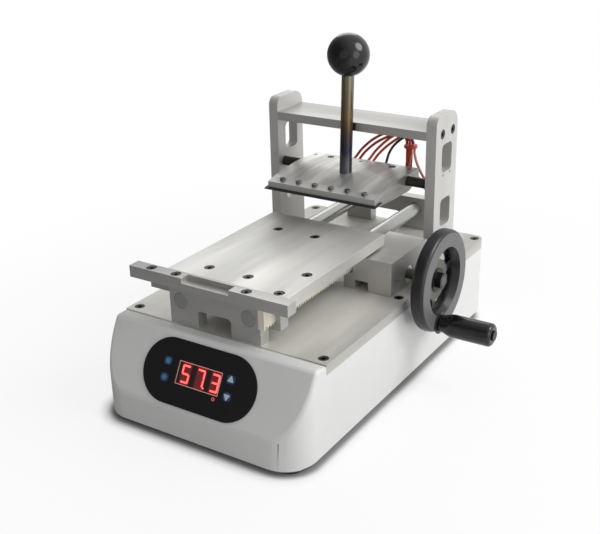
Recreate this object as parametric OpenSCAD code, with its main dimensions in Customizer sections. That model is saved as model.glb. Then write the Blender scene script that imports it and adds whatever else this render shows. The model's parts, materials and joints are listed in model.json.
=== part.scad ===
// Bench machine that clears glue from a flat screen: a heated blade above a sliding table.
// X runs to the right, Y to the back and Z up, from the middle of the base on the surface it stands on.
// Every distance named ..._y is measured back from the front wall of the base.

/* [Base] */
// Width of the base
base_w = 175; // [170:1:182]
// Length of the base
base_l = 304; // [304:1:312]
// Height of the rubber feet
foot_h = 3; // [2:0.5:4]
// Diameter of a foot
foot_d = 18; // [14:1:20]
// Height of the flat lip in front of the top plate
lip_z = 71; // [71:0.5:72]
// Depth of that lip
lip_l = 11.4; // [11:0.2:12]
// Height at which the sloping front starts
crease_z = 24.8; // [23:0.2:27]
// Lean of the sloping front from the vertical in degrees
slope_lean = 29.5; // [28:0.5:30]
// Thickness of the casing's walls
wall_t = 2.5; // [2:0.1:3]
// Corner radius at the front seen from above
front_r = 24; // [20:1:26]
// Corner radius at the back seen from above
back_r = 9.5; // [8:0.5:12]
// Thickness of the bottom cover
cover_t = 2; // [1.5:0.5:3]
// Left and right foot centres
foot_x = [-51, 73]; // [-80:1:80]
// Distance of the front feet's centres from the front wall
foot_y = 14; // [12:1:18]
// Distance of the back feet's centres from the back wall
back_foot_y = 26; // [24:1:40]

/* [Top plate] */
// Thickness of the top plate
plate_t = 8; // [7:0.5:8]
// Step between the back of the plate and the back of the casing
plate_step = 0.8; // [0.5:0.1:1.5]
// Corner screws from the plate's sides
corner_screw_x = 6.7; // [6:0.1:8]
// Corner screws from the plate's ends
corner_screw_y = 7.5; // [7:0.1:9]
// Single screw beside the pinion block from the plate's right side
side_screw_in = 7.5; // [6.5:0.1:8]
// Single screw beside the pinion block: its distance back
side_screw_y = 155.5; // [150:0.5:165]

/* [Control panel] */
// Width of the black panel
panel_w = 97.5; // [92:0.5:100]
// Height of the black panel along the slope
panel_h = 46.7; // [44:0.1:48]
// Middle of the panel from the centre line
panel_x = -1.25; // [-3:0.25:1]
// Middle of the panel up the slope from the crease
panel_s = 25.85; // [25:0.05:26.5]
// Thickness of the panel
panel_t = 1; // [0.8:0.1:1.5]
// Width of the display
display_w = 37.8; // [34:0.2:38.4]
// Height of the display
display_h = 17; // [14:0.5:19]
// Middle of the display from the centre line
display_x = -1.6; // [-3:0.1:0]
// Middle of the display up the slope
display_s = 26.5; // [25:0.1:28]
// Width of a button
button_w = 7; // [5:0.5:7.5]
// Height of a button
button_h = 6.5; // [5:0.5:7]
// Middle of the left buttons
left_button_x = -29.3; // [-31:0.1:-28]
// Middle of the right buttons
right_button_x = 25.5; // [24:0.1:27]
// Middle of the lower buttons up the slope
low_button_s = 20.1; // [19:0.1:21]
// Middle of the upper buttons up the slope
high_button_s = 32; // [31:0.1:33]
// Height of a button above the panel
button_rise = 0.6; // [0.5:0.1:1]
// Depth of the circuit board behind the slope
board_depth = 9; // [8.5:0.5:11]

/* [Power inlet] */
// Middle of the inlet from the left wall
inlet_in = 35.5; // [34:0.5:38]
// Middle of the switch from the centre line
switch_x = -12; // [-20:1:0]
// Height of the inlet and the switch
inlet_z = 34; // [30:1:38]

/* [Guide rods and end blocks] */
// Diameter of a guide rod
rod_d = 12; // [10:0.5:12]
// Distance between the guide rods
rod_gap = 58.9; // [58:0.1:59]
// Middle between the rods from the centre line
rods_x = -4.2; // [-4.5:0.1:-4]
// Height of the rods
rod_z = 89.7; // [89.5:0.1:90]
// Width of an end block
block_w = 79; // [77:1:79]
// Thickness of an end block
block_t = 10; // [9:0.5:10]
// Height of the top of an end block
block_z = 100; // [99:0.2:100]
// Front face of the rear end block
rear_block_y = 291.5; // [290:0.5:292]
// Width of the cable way under a block
way_w = 29; // [24:1:30]
// Height of the cable way
way_h = 14; // [10:0.5:14]

/* [Sliding table] */
// Front bar: left end
bar_left = -77; // [-80:1:-70]
// Front bar: right end
bar_right = 60.5; // [58:0.5:62]
// Front bar: front face
bar_y = 34; // [33:0.5:35]
// Depth of the front bar
bar_l = 10; // [9:0.5:10]
// Height of the underside of the table
table_z = 100.3; // [100.3:0.1:100.6]
// Thickness of the table
table_t = 9; // [8:0.5:9]
// Table: left side
table_left = -49.3; // [-52:0.1:-48]
// Table: right side
table_right = 54.5; // [53:0.1:55]
// Table: back edge
table_back_y = 179.5; // [175:0.5:180]
// Finger notch in the front bar: left end
notch_left = -29; // [-34:1:-20]
// Finger notch: right end
notch_right = 12; // [8:1:16]
// Finger notch: depth from the front
notch_l = 8; // [6:0.5:8.5]
// Finger notch: drop
notch_h = 4; // [2:0.5:5]

/* [Rack and pinion] */
// Module of the teeth
tooth_module = 1; // [0.98:0.01:1]
// Teeth of the pinion
pinion_teeth = 14; // [14:1:14]
// Left side of the rack
rack_x = 36; // [36:0.1:36.2]
// Width of the rack and the pinion
rack_w = 5; // [4:0.5:5]
// Length of the rack
rack_l = 158; // [156:1:160]
// Axis of the pinion and the wheel: distance back
axle_y = 182; // [181:0.5:183]
// Axis of the pinion and the wheel: height
axle_z = 79.6; // [79.5:0.05:79.7]
// Pinion block: front face
gear_block_y = 152; // [151:0.5:153]
// Pinion block: length
gear_block_l = 60; // [58:0.5:61]
// Pinion block: left side
gear_block_left = 34; // [34:0.1:34.4]
// Pinion block: right side from the base's right wall
gear_block_in = 12.2; // [12:0.1:13.5]
// Pinion block: top
gear_block_z = 98.5; // [96:0.5:99]
// Diameter of the wheel's shaft
shaft_d = 8; // [7:0.5:8]

/* [Handwheel] */
// Diameter of the handwheel
wheel_d = 80; // [74:1:82]
// Space between the base and the rim
wheel_out = 7.5; // [6.5:0.5:8.5]
// Thickness of the rim
wheel_t = 11; // [9:0.5:12]
// Radius of the hole in the rim at its face
rim_face_r = 27; // [26:0.5:28]
// Radius of the hole in the rim at the spokes
rim_deep_r = 23.3; // [22:0.1:24]
// Radius of the hub
hub_r = 16; // [14:0.5:17]
// Angle of the crank grip from the horizontal in degrees
crank_angle = 254.7; // [250:0.1:260]
// Distance of the crank grip from the wheel's axis
crank_r = 32.2; // [31:0.1:33]
// Diameter of the crank grip
grip_d = 18; // [16:0.5:19]
// Diameter of the grip beside the wheel
grip_neck_d = 13; // [12:0.5:14]
// Length of the crank grip
grip_l = 42.6; // [38:0.1:46]

/* [Uprights] */
// Inner face of each upright from the centre line
upright_x = 68.8; // [68.5:0.1:69]
// Thickness of an upright
upright_t = 8.5; // [8:0.1:9]
// Front edge of the uprights
upright_y = 219; // [218.5:0.5:220]
// Depth of the uprights
upright_l = 38.8; // [38:0.1:40]
// Height of the top of the uprights
upright_z = 194; // [192:0.5:200]
// Width of the windows
window_w = 18; // [14:0.5:19]
// Height of the windows
window_h = 23; // [20:0.5:24]
// Corner radius of the windows
window_r = 4; // [2:0.5:6]
// Height of the lower edge of the lower window
low_window_z = 102; // [100:1:104]
// Height of the lower edge of the upper window
high_window_z = 147; // [146:1:149]
// Underside of the crossbar
crossbar_z = 175.3; // [174:0.1:176]
// Thickness of the crossbar
crossbar_t = 7; // [6:0.5:8]

/* [Blade head] */
// Half the width of the head
head_x = 49; // [46:0.5:50]
// Pivot of the head: distance back
pivot_y = 228.5; // [228:0.1:229]
// Pivot of the head: height
pivot_z = 137.5; // [137:0.1:138]
// Diameter of the pivot pins
pivot_d = 8; // [7:0.5:8]
// Half the width of the blade
blade_x = 51; // [50:0.5:52]
// Edge of the blade: distance back
blade_y = 170.3; // [169:0.1:171]
// Edge of the blade: height
blade_z = 131.8; // [131.5:0.1:132]
// Rise of the blade towards the back in degrees
blade_tilt = 6; // [5:0.5:7]
// Thickness of the blade
blade_t = 0.9; // [0.7:0.1:1]
// Front face of the clamping bar
clamp_y = 173.5; // [173:0.1:174]
// Depth of the clamping bar
clamp_l = 8; // [7.5:0.1:8.5]
// Number of blade screws
blade_screws_n = 6; // [4:1:7]
// Distance between blade screws
blade_screw_step = 15; // [12:0.5:15]
// Middle of the lever from the centre line
lever_x = 2; // [0:0.5:3]
// Diameter of the lever
lever_d = 10; // [9:0.5:10]
// Lever where it leaves the head: distance back
lever_y = 210.5; // [210:0.1:211]
// Lean of the lever towards the back in degrees
lever_lean = 3.1; // [2.8:0.1:3.2]
// Length of the lever from the head to the middle of the ball
lever_l = 93.4; // [85:0.1:100]
// Diameter of the ball
ball_d = 33.5; // [30:0.5:36]

/* [Wires] */
// Diameter of a wire
wire_d = 2.2; // [2:0.1:2.4]
// Diameter of the bundle
bundle_d = 6; // [5:0.5:6.5]

/* [Hidden] */
$fn = 48;

// Overrun of every cut, running clearances and shared screw sizes
over = 1;
slip = 0.05;
gap = 0.3;
screw_d = 4;
screw_head_d = 7;
screw_head_h = 4;
screw_key_d = 3.4;
screw_key_h = 2.2;
bore_step = 0.4;

// Casing and slope
plate_y = (lip_z - crease_z) * tan(slope_lean) + lip_l;
plate_z = lip_z - plate_t;
plate_end_y = base_l - plate_step;
slope_turn = 90 - slope_lean;
boss_d = 11;
lip_hang = 3;
corner_x = base_w / 2 - corner_screw_x;
side_screw_x = base_w / 2 - side_screw_in;
inlet_x = inlet_in - base_w / 2;
corner_ys = [plate_y + corner_screw_y, plate_end_y - corner_screw_y];
cover_gap = 0.2;
foot_ys = [foot_y, base_l - back_foot_y];

// Panel, display and buttons
panel_r = panel_h / 2;
recess_w = 70;
recess_h = 25;
display_rise = 0.8;
board_w = 88;
board_h = 32;
board_t = 1.6;
post_d = 6;
post_inset_x = 4;
post_inset_s = 5;
key_w = 6;
key_h = 3.5;
plunger_d = 3;
plunger_l = 2.6;
button_travel = 0.5;
button_clear = 0.15;
button_r = 1;

// Inlet and switch on the back wall
inlet_w = 27;
inlet_h = 20;
inlet_deep = 22;
inlet_flange = 2;
inlet_wall = 2;
pin_w = 2;
pin_h = 4;
pin_l = 12;
pin_step = 7;
switch_w = 20;
switch_h = 14;
switch_deep = 18;
rocker_w = 16;
rocker_h = 10;
rocker_deep = 12;
rocker_tilt = 8;
rocker_pin_d = 3;
rocker_pin_in = 1.5;

// Sliding table
left_rod_x = rods_x - rod_gap / 2;
right_rod_x = rods_x + rod_gap / 2;
bush_d = 14;
front_member_y = plate_y + block_t + 0.6 * bore_step;
member_l = 9.5;
member_left = -70;
member_low_x = -46;
member_right = 45;
member_z = 80.5;
member_arm_z = 88.5;
rear_member_y = 166;
rear_member_right = 33.4;
rear_member_left = -43;
way_r = 3;

// Rack and pinion, with a shortened rack tooth so the small pinion isn't undercut
tooth_pitch = PI * tooth_module;
pitch_r = tooth_module * pinion_teeth / 2;
rack_pitch_z = axle_z + pitch_r;
rack_tip_share = 0.78;
root_share = 1.3;
tip_share = 1;
pressure_angle = 20;
backlash = 0.22;
rack_plain_l = 2;
base_r = pitch_r * cos(pressure_angle);
gear_block_right = base_w / 2 - gear_block_in;
gear_ledge_z = 84.6;
gear_step_x = 41.8;
pocket_l = 19;
gear_way_left = 44;
gear_way_right = 55.4;
gear_way_z = 79;
bearing_d = 14;
bearing_t = 4;
shaft_hole_d = 10;
block_mark_places = [[165.4, 79.6], [160.4, 81.5]];
shaft_left = rack_x - bore_step;

// Handwheel
wheel_x = base_w / 2 + wheel_out;
rim_round = 3.5;
rim_step = 0.5;
spoke_t = 4;
spoke_w = 6;
boss_r = 11;
boss_l = wheel_out - 2 * gap;
spokes_n = 3;
nut_r = 6.8;
nut_t = 4.5;
washer_r = 9.5;
washer_t = 1;
spindle_d = 6;
spindle_head_d = 8;
grip_swell_l = 11;
grip_round = 3;
grip_y = axle_y + crank_r * cos(crank_angle);
grip_z = axle_z + crank_r * sin(crank_angle);
grip_x = wheel_x + wheel_t + 1.4 * washer_t;

// Uprights and crossbar
top_front_r = 7;
top_back_r = 11;
window_in = 11.5;
window_y = upright_y + window_in;
cross_screw_ys = [230.8, 249.3];
mark_ys = [233.6, 246];
mark_z = 145;
mark_d = 2.5;
pin_depth = 6;
pin_in = 24;
stop_w = 9.6;
stop_t = 1.25;
stop_h = 6.4;

// Blade head
blade_l = 11.2;
blade_bevel = 2;
ledge_y = clamp_y + 2;
clamp_back_y = clamp_y + clamp_l;
blade_screw_y = 178.4;
blade_screw_d = 2.5;
blade_screw_head_d = 4.6;
blade_screw_head_h = 1.8;
blade_screws_x = -0.4;
blade_screw_xs = [
    for (i = [0 : blade_screws_n - 1]) blade_screws_x + (i - (blade_screws_n - 1) / 2) * blade_screw_step
];
clamp_front_z = 137.6;
clamp_back_z = 139.5;
blade_screw_seat_z = clamp_front_z + (clamp_back_z - clamp_front_z) * (blade_screw_y - clamp_y) / clamp_l;
heater_xs = [-14.8, -1.2];
heater_d = 6;
heater_l = 30;
heater_drop = 0.2;
heater_z = pivot_z - heater_drop;
sensor_x = 14;
sensor_d = 4;
head_tail = 20;
head_back_y = pivot_y + head_tail;
head_hole_in = 6.5;
head_hole_y = head_back_y - head_hole_in;
tail_half_t = 5;
arch_end = 5;
arch_rise = 5.9;
arch_shares = [[0.238, 0.385], [0.5, 0.692], [0.762, 0.974]];
keel_end = 8;
keel_drop = 7.5;
belly_end = 3;
belly_drop = 9.2;
chest_front = 22;
chest_drop = 8.7;
nose_drop = 6.9;
small_hole_xs = [-46, -2, 43];
large_hole_xs = [-31, 28];
small_hole_d = 3;
large_hole_d = 6;
head_hole_l = 2.5;
lever_root_z = 143.2;
lever_in = 8;
ball_in = 11;

// Wires: points are [X, distance back, height]
wire_split = 1.35;
wire_sides = 8;
wire_gap = 0.9;
tie_x = 38.2;
tie_y = 254.6;
tie_z = 156.5;
tie_d = 11;
tie_t = 3;
grommet_x = 62;
grommet_y = 264;
grommet_d = 12;
grommet_rise = 1.5;
grommet_rim = 1.5;
tie_clear = 0.3;
wire_start_y = head_back_y + wire_gap;
wire_end_z = tie_z + tie_t + tie_clear;
red_route = [
    [heater_xs[0], wire_start_y, heater_z], [heater_xs[0], 253.2, heater_z], [-13.4, 257.6, 140],
    [-8.6, 259.5, 147], [2, 257.4, 156.4], [13.5, 254.4, 163.6], [22, 252.6, 167.4], [29.2, 251.8, 169],
    [34.6, 251.8, 167.4], [37.2, 251.8, 163.2], [37.4, 251.8, wire_end_z]
];
orange_route = [
    [heater_xs[1], wire_start_y, heater_z], [heater_xs[1], 253.2, heater_z], [0, 257.6, 140],
    [4.4, 260, 147], [13, 259.6, 155.6], [21.5, 258.2, 162.2], [29, 257.4, 166.6],
    [34.2, 257.4, 166], [37, 257.4, 162.8], [37.4, 257.4, wire_end_z]
];
black_route = [
    [sensor_x, wire_start_y, heater_z], [sensor_x, 253.2, heater_z], [14.2, 257.4, 140],
    [15.8, 258.6, 147], [20, 257.2, 154], [25.6, 255.6, 159.8], [31.6, 254.8, 164.4],
    [37, 254.6, 164.8], [41, 254.6, 160.5]
];
bundle_route = [
    [37.1, 254.6, tie_z], [37.1, 254.6, 152.5], [35.6, 257, 145.5], [33.8, 261, 137.5],
    [36.5, 265.4, 129], [45, 267.6, 122], [54.6, 267.6, 117], [61, 266.6, 109.5], [61.6, 265.2, 98],
    [60.8, 264, 86], [60.8, 264, 72.5]
];
pink_route = [
    [42, 254.2, tie_z], [42, 254.2, 152.5], [44.4, 253.8, 145], [49.4, 254, 135.5], [56.4, 257, 123.5],
    [63, 260.4, 110.5], [66, 263, 97], [66, 264, 84], [66, 264, 72.5]
];
// Where the second wire of a pair lies from the route, over the last points of the arch
pair_end_shares = [[0, 0, -1], [-0.7, 0, -0.7], [-1, 0, 0], [-1, 0, 0]];

// A point given as X, distance back and height
function at(p) = [p[0], p[1] - base_l / 2, p[2]];

// A box between two places in X, in distance back and in height
module box(x0, x1, y0, y1, z0, z1) {
    translate(at([x0, y0, z0])) cube([x1 - x0, y1 - y0, z1 - z0]);
}

// Round bars along each of the three directions
module bar_x(d, x0, x1, y, z) {
    translate(at([x0, y, z])) rotate([0, 90, 0]) cylinder(d = d, h = x1 - x0);
}
module bar_y(d, x, y0, y1, z) {
    translate(at([x, y1, z])) rotate([90, 0, 0]) cylinder(d = d, h = y1 - y0);
}
module bar_z(d, x, y, z0, z1) {
    translate(at([x, y, z0])) cylinder(d = d, h = z1 - z0);
}

// A side view in distance back and height, drawn across from x0 over a width w
module across(x0, w) {
    translate(at([x0, 0, 0])) rotate([90, 0, 90]) linear_extrude(w) children();
}

// A front view in X and height, drawn back from y0 over a length l
module along(y0, l) {
    translate(at([0, y0 + l, 0])) rotate([90, 0, 0]) linear_extrude(l) children();
}

// Places on the sloping front: X, distance up the slope from the crease and height above its surface
module on_slope(x, s, n) {
    translate(at([0, 0, crease_z])) rotate([slope_turn, 0, 0]) translate([x, s, n]) children();
}

// Rectangle with round corners about its own middle
module round_rect(w, h, r) {
    square([w - 2 * r, h], center = true);
    square([w, h - 2 * r], center = true);
    for (sx = [-1, 1], sy = [-1, 1]) translate([sx * (w / 2 - r), sy * (h / 2 - r)]) circle(r);
}

// Socket-head screw pointing down from z = 0 at the underside of its head
module cap_screw(l) {
    difference() {
        cylinder(d = screw_head_d, h = screw_head_h);
        translate([0, 0, screw_head_h - screw_key_h])
            cylinder(d = screw_key_d, h = screw_key_h + over, $fn = 6);
    }
    translate([0, 0, -l]) cylinder(d = screw_d, h = l + slip);
}

// Hole for that screw, from z = 0 at the surface the head lies flush with
module screw_hole(l) {
    head_space = screw_head_h + bore_step;
    translate([0, 0, -head_space]) cylinder(d = screw_head_d + 2 * bore_step, h = head_space + over);
    translate([0, 0, -l]) cylinder(d = screw_d, h = l);
}

// Outline of the base from above, inset from its walls
module base_outline(inset) {
    w = base_w - 2 * inset;
    l = base_l - 2 * inset;
    fr = front_r - inset;
    br = back_r - inset;
    translate([0, (fr - br) / 2]) square([w, l - fr - br], center = true);
    translate([0, (fr - br) / 2]) square([w - 2 * fr, l - fr - br + 2 * br], center = true);
    translate([0, -l / 4]) square([w - 2 * fr, l / 2], center = true);
    translate([0, l / 4]) square([w - 2 * br, l / 2], center = true);
    for (side = [-1, 1]) {
        translate([side * (w / 2 - fr), -l / 2 + fr]) circle(fr);
        translate([side * (w / 2 - br), l / 2 - br]) circle(br);
    }
}

// Side view of the casing
module casing_side() {
    polygon([
        [0, foot_h],
        [0, crease_z],
        [plate_y - lip_l, lip_z],
        [plate_y, lip_z],
        [plate_y, plate_z],
        [base_l, plate_z],
        [base_l, foot_h]
    ]);
}

// Side view of the room inside it, open at the bottom and under the top plate
module room_side() {
    polygon([
        [wall_t, foot_h - over],
        [wall_t, crease_z - wall_t * tan(slope_lean / 2)],
        [plate_y - lip_l + wall_t * (1 - sin(slope_lean)) / cos(slope_lean), lip_z - wall_t],
        [plate_y - wall_t, lip_z - wall_t],
        [plate_y - wall_t, plate_z - lip_hang],
        [plate_y, plate_z - lip_hang],
        [plate_y, plate_z + over],
        [base_l - wall_t, plate_z + over],
        [base_l - wall_t, foot_h - over]
    ]);
}

// Rectangular opening in the back wall, at the height of the inlet
module back_opening(x, w, h) {
    along(base_l - wall_t - over, wall_t + 2 * over) translate([x, inlet_z]) square([w, h], center = true);
}

module base_casing() {
    color("white") difference() {
        union() {
            difference() {
                intersection() {
                    linear_extrude(lip_z + over) base_outline(0);
                    across(-base_w, 2 * base_w) casing_side();
                }
                intersection() {
                    linear_extrude(lip_z + over) base_outline(wall_t);
                    across(-base_w, 2 * base_w) room_side();
                }
            }
            intersection() {
                linear_extrude(plate_z) base_outline(wall_t / 2);
                for (side = [-1, 1], y = corner_ys)
                    bar_z(boss_d, side * corner_x, y, foot_h + cover_t, plate_z);
            }
        }
        for (side = [-1, 1], y = corner_ys) bar_z(screw_d, side * corner_x, y, foot_h, plate_z + over);
        on_slope(panel_x, panel_s, -wall_t - over)
            linear_extrude(wall_t + 2 * over) square([recess_w, recess_h], center = true);
        back_opening(inlet_x, inlet_w, inlet_h);
        back_opening(switch_x, switch_w, switch_h);
    }
}

module bottom_cover() {
    color("silver") difference() {
        translate([0, 0, foot_h]) linear_extrude(cover_t) base_outline(wall_t + cover_gap);
        for (side = [-1, 1], y = corner_ys)
            bar_z(screw_d, side * corner_x, y, foot_h - over, foot_h + cover_t + over);
    }
}

module rubber_feet() {
    color("black") for (x = foot_x, y = foot_ys) translate(at([x, y, 0])) difference() {
        cylinder(d1 = foot_d - 2 * gap, d2 = foot_d, h = foot_h);
        translate([0, 0, -over]) cylinder(d = screw_head_d, h = foot_h / 2 + over);
    }
}

// Screws that hold the bottom cover up against the casing's bosses
module cover_screws() {
    color("silver") for (side = [-1, 1], y = corner_ys) translate(at([side * corner_x, y, foot_h])) {
        translate([0, 0, -screw_key_h]) cylinder(d = screw_head_d, h = screw_key_h);
        translate([0, 0, -slip]) cylinder(d = screw_d, h = 2 * plate_t);
    }
}

module top_plate() {
    color("lightgray") difference() {
        intersection() {
            translate([0, 0, plate_z]) linear_extrude(plate_t) base_outline(0);
            box(-base_w, base_w, plate_y, plate_end_y, plate_z - over, lip_z + over);
        }
        for (side = [-1, 1], y = corner_ys)
            translate(at([side * corner_x, y, lip_z])) screw_hole(2 * plate_t);
        translate(at([side_screw_x, side_screw_y, lip_z])) screw_hole(2 * plate_t);
        bar_z(grommet_d, grommet_x, grommet_y, plate_z - over, lip_z + over);
    }
}

module plate_screws() {
    seat_z = lip_z - screw_head_h - bore_step;
    color("dimgray") {
        for (side = [-1, 1], y = corner_ys)
            translate(at([side * corner_x, y, seat_z])) cap_screw(2 * plate_t);
        translate(at([side_screw_x, side_screw_y, seat_z])) cap_screw(seat_z - plate_z);
    }
}

module control_panel() {
    clear = 2 * button_clear;
    color("black") on_slope(panel_x, panel_s, 0) difference() {
        linear_extrude(panel_t) round_rect(panel_w, panel_h, panel_r - slip);
        translate([display_x - panel_x, display_s - panel_s, -over])
            linear_extrude(panel_t + 2 * over)
                square([display_w + clear, display_h + clear], center = true);
        for (x = [left_button_x, right_button_x], s = [low_button_s, high_button_s])
            translate([x - panel_x, s - panel_s, -over])
                linear_extrude(panel_t + 2 * over)
                    round_rect(button_w + clear, button_h + clear, button_r + button_clear);
    }
}

module display_module() {
    color("darkred") on_slope(display_x, display_s, -board_depth)
        linear_extrude(board_depth + panel_t + display_rise)
            square([display_w, display_h], center = true);
}

module circuit_board() {
    color("green") on_slope(panel_x, panel_s, -board_depth - board_t)
        linear_extrude(board_t) square([board_w, board_h], center = true);
}

module board_posts() {
    post_x = board_w / 2 - post_inset_x;
    post_s = board_h / 2 - post_inset_s;
    color("silver") for (sx = [-1, 1], ss = [-1, 1])
        on_slope(panel_x + sx * post_x, panel_s + ss * post_s, -board_depth)
            cylinder(d = post_d, h = board_depth - wall_t);
}

// Key switches on the board, each with a well for its button's plunger
module key_switches() {
    well_h = plunger_l + button_travel;
    color("dimgray") for (x = [left_button_x, right_button_x], s = [low_button_s, high_button_s])
        on_slope(x, s, -board_depth) difference() {
            linear_extrude(key_h) square([key_w, key_w], center = true);
            translate([0, 0, key_h - well_h]) cylinder(d = plunger_d + 2 * slip, h = well_h + over);
        }
}

module push_button(x, s) {
    foot_n = -board_depth + key_h + button_travel + gap;
    color("steelblue") on_slope(x, s, foot_n) {
        linear_extrude(panel_t + button_rise - foot_n) round_rect(button_w, button_h, button_r);
        translate([0, 0, -plunger_l]) cylinder(d = plunger_d, h = plunger_l + slip);
    }
}
module button_upper_left() { push_button(left_button_x, high_button_s); }
module button_lower_left() { push_button(left_button_x, low_button_s); }
module button_upper_right() { push_button(right_button_x, high_button_s); }
module button_lower_right() { push_button(right_button_x, low_button_s); }

// Flanged body let into the back wall
module back_body(x, w, h, deep) {
    along(base_l, inlet_flange)
        translate([x, inlet_z]) square([w + 2 * inlet_wall, h + 2 * inlet_wall], center = true);
    along(base_l - deep, deep + slip)
        translate([x, inlet_z]) square([w - 2 * slip, h - 2 * slip], center = true);
}

// Mains inlet: a flanged cup with three flat pins
module power_inlet() {
    color("black") difference() {
        back_body(inlet_x, inlet_w, inlet_h, inlet_deep);
        along(base_l - inlet_deep + inlet_wall, inlet_deep + inlet_wall)
            translate([inlet_x, inlet_z])
                square([inlet_w - 2 * inlet_wall, inlet_h - 2 * inlet_wall], center = true);
    }
}

module inlet_pins() {
    color("silver") for (i = [-1, 0, 1]) along(base_l - inlet_deep + inlet_wall, pin_l)
        translate([inlet_x + i * pin_step, inlet_z + (i == 0 ? pin_h : -pin_h) / 2])
            square([pin_w, pin_h], center = true);
}

module switch_housing() {
    color("black") difference() {
        back_body(switch_x, switch_w, switch_h, switch_deep);
        along(base_l - rocker_deep, rocker_deep + inlet_flange + over)
            translate([switch_x, inlet_z]) square([rocker_w, rocker_h], center = true);
    }
    color("black") bar_x(
        rocker_pin_d, switch_x - rocker_w / 2 - slip, switch_x + rocker_w / 2 + slip,
        base_l - rocker_pin_in, inlet_z
    );
}

// Rocker on a pin across the housing, pressed in at its upper end
module switch_rocker() {
    half = rocker_h / 2 - 3 * gap;
    front = inlet_flange + rocker_pin_in;
    back = rocker_pin_in - rocker_h / 2;
    color("darkred")
        translate(at([switch_x - rocker_w / 2 + gap, base_l - rocker_pin_in, inlet_z]))
            rotate([rocker_tilt, 0, 0]) rotate([90, 0, 90])
                linear_extrude(rocker_w - 2 * gap) difference() {
                    polygon([
                        [back, -half], [front, -half], [front - gap, 0], [front, half], [back, half]
                    ]);
                    circle(d = rocker_pin_d + 2 * slip);
                }
}

// End block of the guide rods, with a round-topped cable way under it
module end_block(y0) {
    color("gainsboro") difference() {
        box(rods_x - block_w / 2, rods_x + block_w / 2, y0, y0 + block_t, lip_z, block_z);
        for (x = [left_rod_x, right_rod_x]) bar_y(rod_d, x, y0 - over, y0 + block_t + over, rod_z);
        along(y0 - over, block_t + 2 * over)
            translate([rods_x, lip_z]) round_rect(way_w, 2 * way_h, way_r);
    }
}
module front_end_block() { end_block(plate_y); }
module rear_end_block() { end_block(rear_block_y); }

module guide_rods() {
    color("silver") for (x = [left_rod_x, right_rod_x])
        bar_y(rod_d, x, plate_y, rear_block_y + block_t, rod_z);
}

// Plain bushes of the table, two on each rod
module guide_bushes() {
    color("goldenrod") for (x = [left_rod_x, right_rod_x], y = [front_member_y, rear_member_y])
        difference() {
            bar_y(bush_d, x, y, y + member_l, rod_z);
            bar_y(rod_d + 2 * slip, x, y - over, y + member_l + over, rod_z);
        }
}

// Cross member at the front: a long arm to the left and a slot that holds the rack at the right
module front_cross_member() {
    back_y = front_member_y + member_l;
    color("gainsboro") difference() {
        along(front_member_y, member_l) polygon([
            [member_left, table_z],
            [member_left, member_arm_z],
            [member_low_x, member_arm_z],
            [member_low_x, member_z],
            [member_right, member_z],
            [member_right, table_z]
        ]);
        for (x = [left_rod_x, right_rod_x])
            bar_y(bush_d, x, front_member_y - over, back_y + over, rod_z);
        box(
            rack_x - slip, rack_x + rack_w + slip, front_member_y - over, back_y + over,
            rack_pitch_z - tooth_module, table_z + over
        );
    }
}

module rear_cross_member() {
    back_y = rear_member_y + member_l;
    color("gainsboro") difference() {
        box(rear_member_left, rear_member_right, rear_member_y, back_y, member_z, table_z);
        for (x = [left_rod_x, right_rod_x]) bar_y(bush_d, x, rear_member_y - over, back_y + over, rod_z);
    }
}

// Table screws: X and distance back, on the plate and on the front bar
table_screw_places = [
    [-23.8, 148.7], [10.3, 60.1], [44.3, 83.5], [-23.8, 60.1], [10.3, 148.7], [44.5, 48.2]
];
bar_screw_places = [[-37.4, 38.9], [23.8, 38.9], [-60, 38.9]];

module table_plate() {
    color("silver") difference() {
        box(table_left, table_right, bar_y + bar_l, table_back_y, table_z, table_z + table_t);
        for (p = table_screw_places)
            translate(at([p[0], p[1], table_z + table_t])) screw_hole(table_t + over);
    }
}

module front_bar() {
    top_z = table_z + table_t;
    color("silver") difference() {
        box(bar_left, bar_right, bar_y, bar_y + bar_l, table_z, top_z);
        box(notch_left, notch_right, bar_y - over, bar_y + notch_l, top_z - notch_h, top_z + over);
        for (p = bar_screw_places) translate(at([p[0], p[1], top_z])) screw_hole(table_t + over);
    }
}

module table_screws() {
    shank = table_t - screw_head_h - bore_step;
    color("dimgray") for (p = concat(table_screw_places, bar_screw_places))
        translate(at([p[0], p[1], table_z + shank])) cap_screw(shank);
}

// Side view of one rack tooth about its middle, pointing down from the pitch line
module rack_tooth() {
    half = tooth_pitch / 4 - backlash / 4;
    spread = tan(pressure_angle);
    tip = tooth_module * rack_tip_share;
    root = tooth_module * root_share;
    polygon([
        [-half + tip * spread, -tip],
        [half - tip * spread, -tip],
        [half + root * spread, root],
        [-half - root * spread, root]
    ]);
}

module rack() {
    root_z = rack_pitch_z + tooth_module * root_share;
    first = ceil((bar_y + rack_plain_l - axle_y) / tooth_pitch);
    last = floor((bar_y + rack_l - axle_y) / tooth_pitch) - 1;
    color("ivory") union() {
        box(rack_x, rack_x + rack_w, bar_y, bar_y + rack_l, root_z - slip, table_z);
        box(
            rack_x, rack_x + rack_w, bar_y, bar_y + rack_plain_l,
            rack_pitch_z - tooth_module * rack_tip_share, root_z
        );
        across(rack_x, rack_w) for (i = [first : last])
            translate([axle_y + (i + 0.5) * tooth_pitch, rack_pitch_z]) rack_tooth();
    }
}

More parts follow.
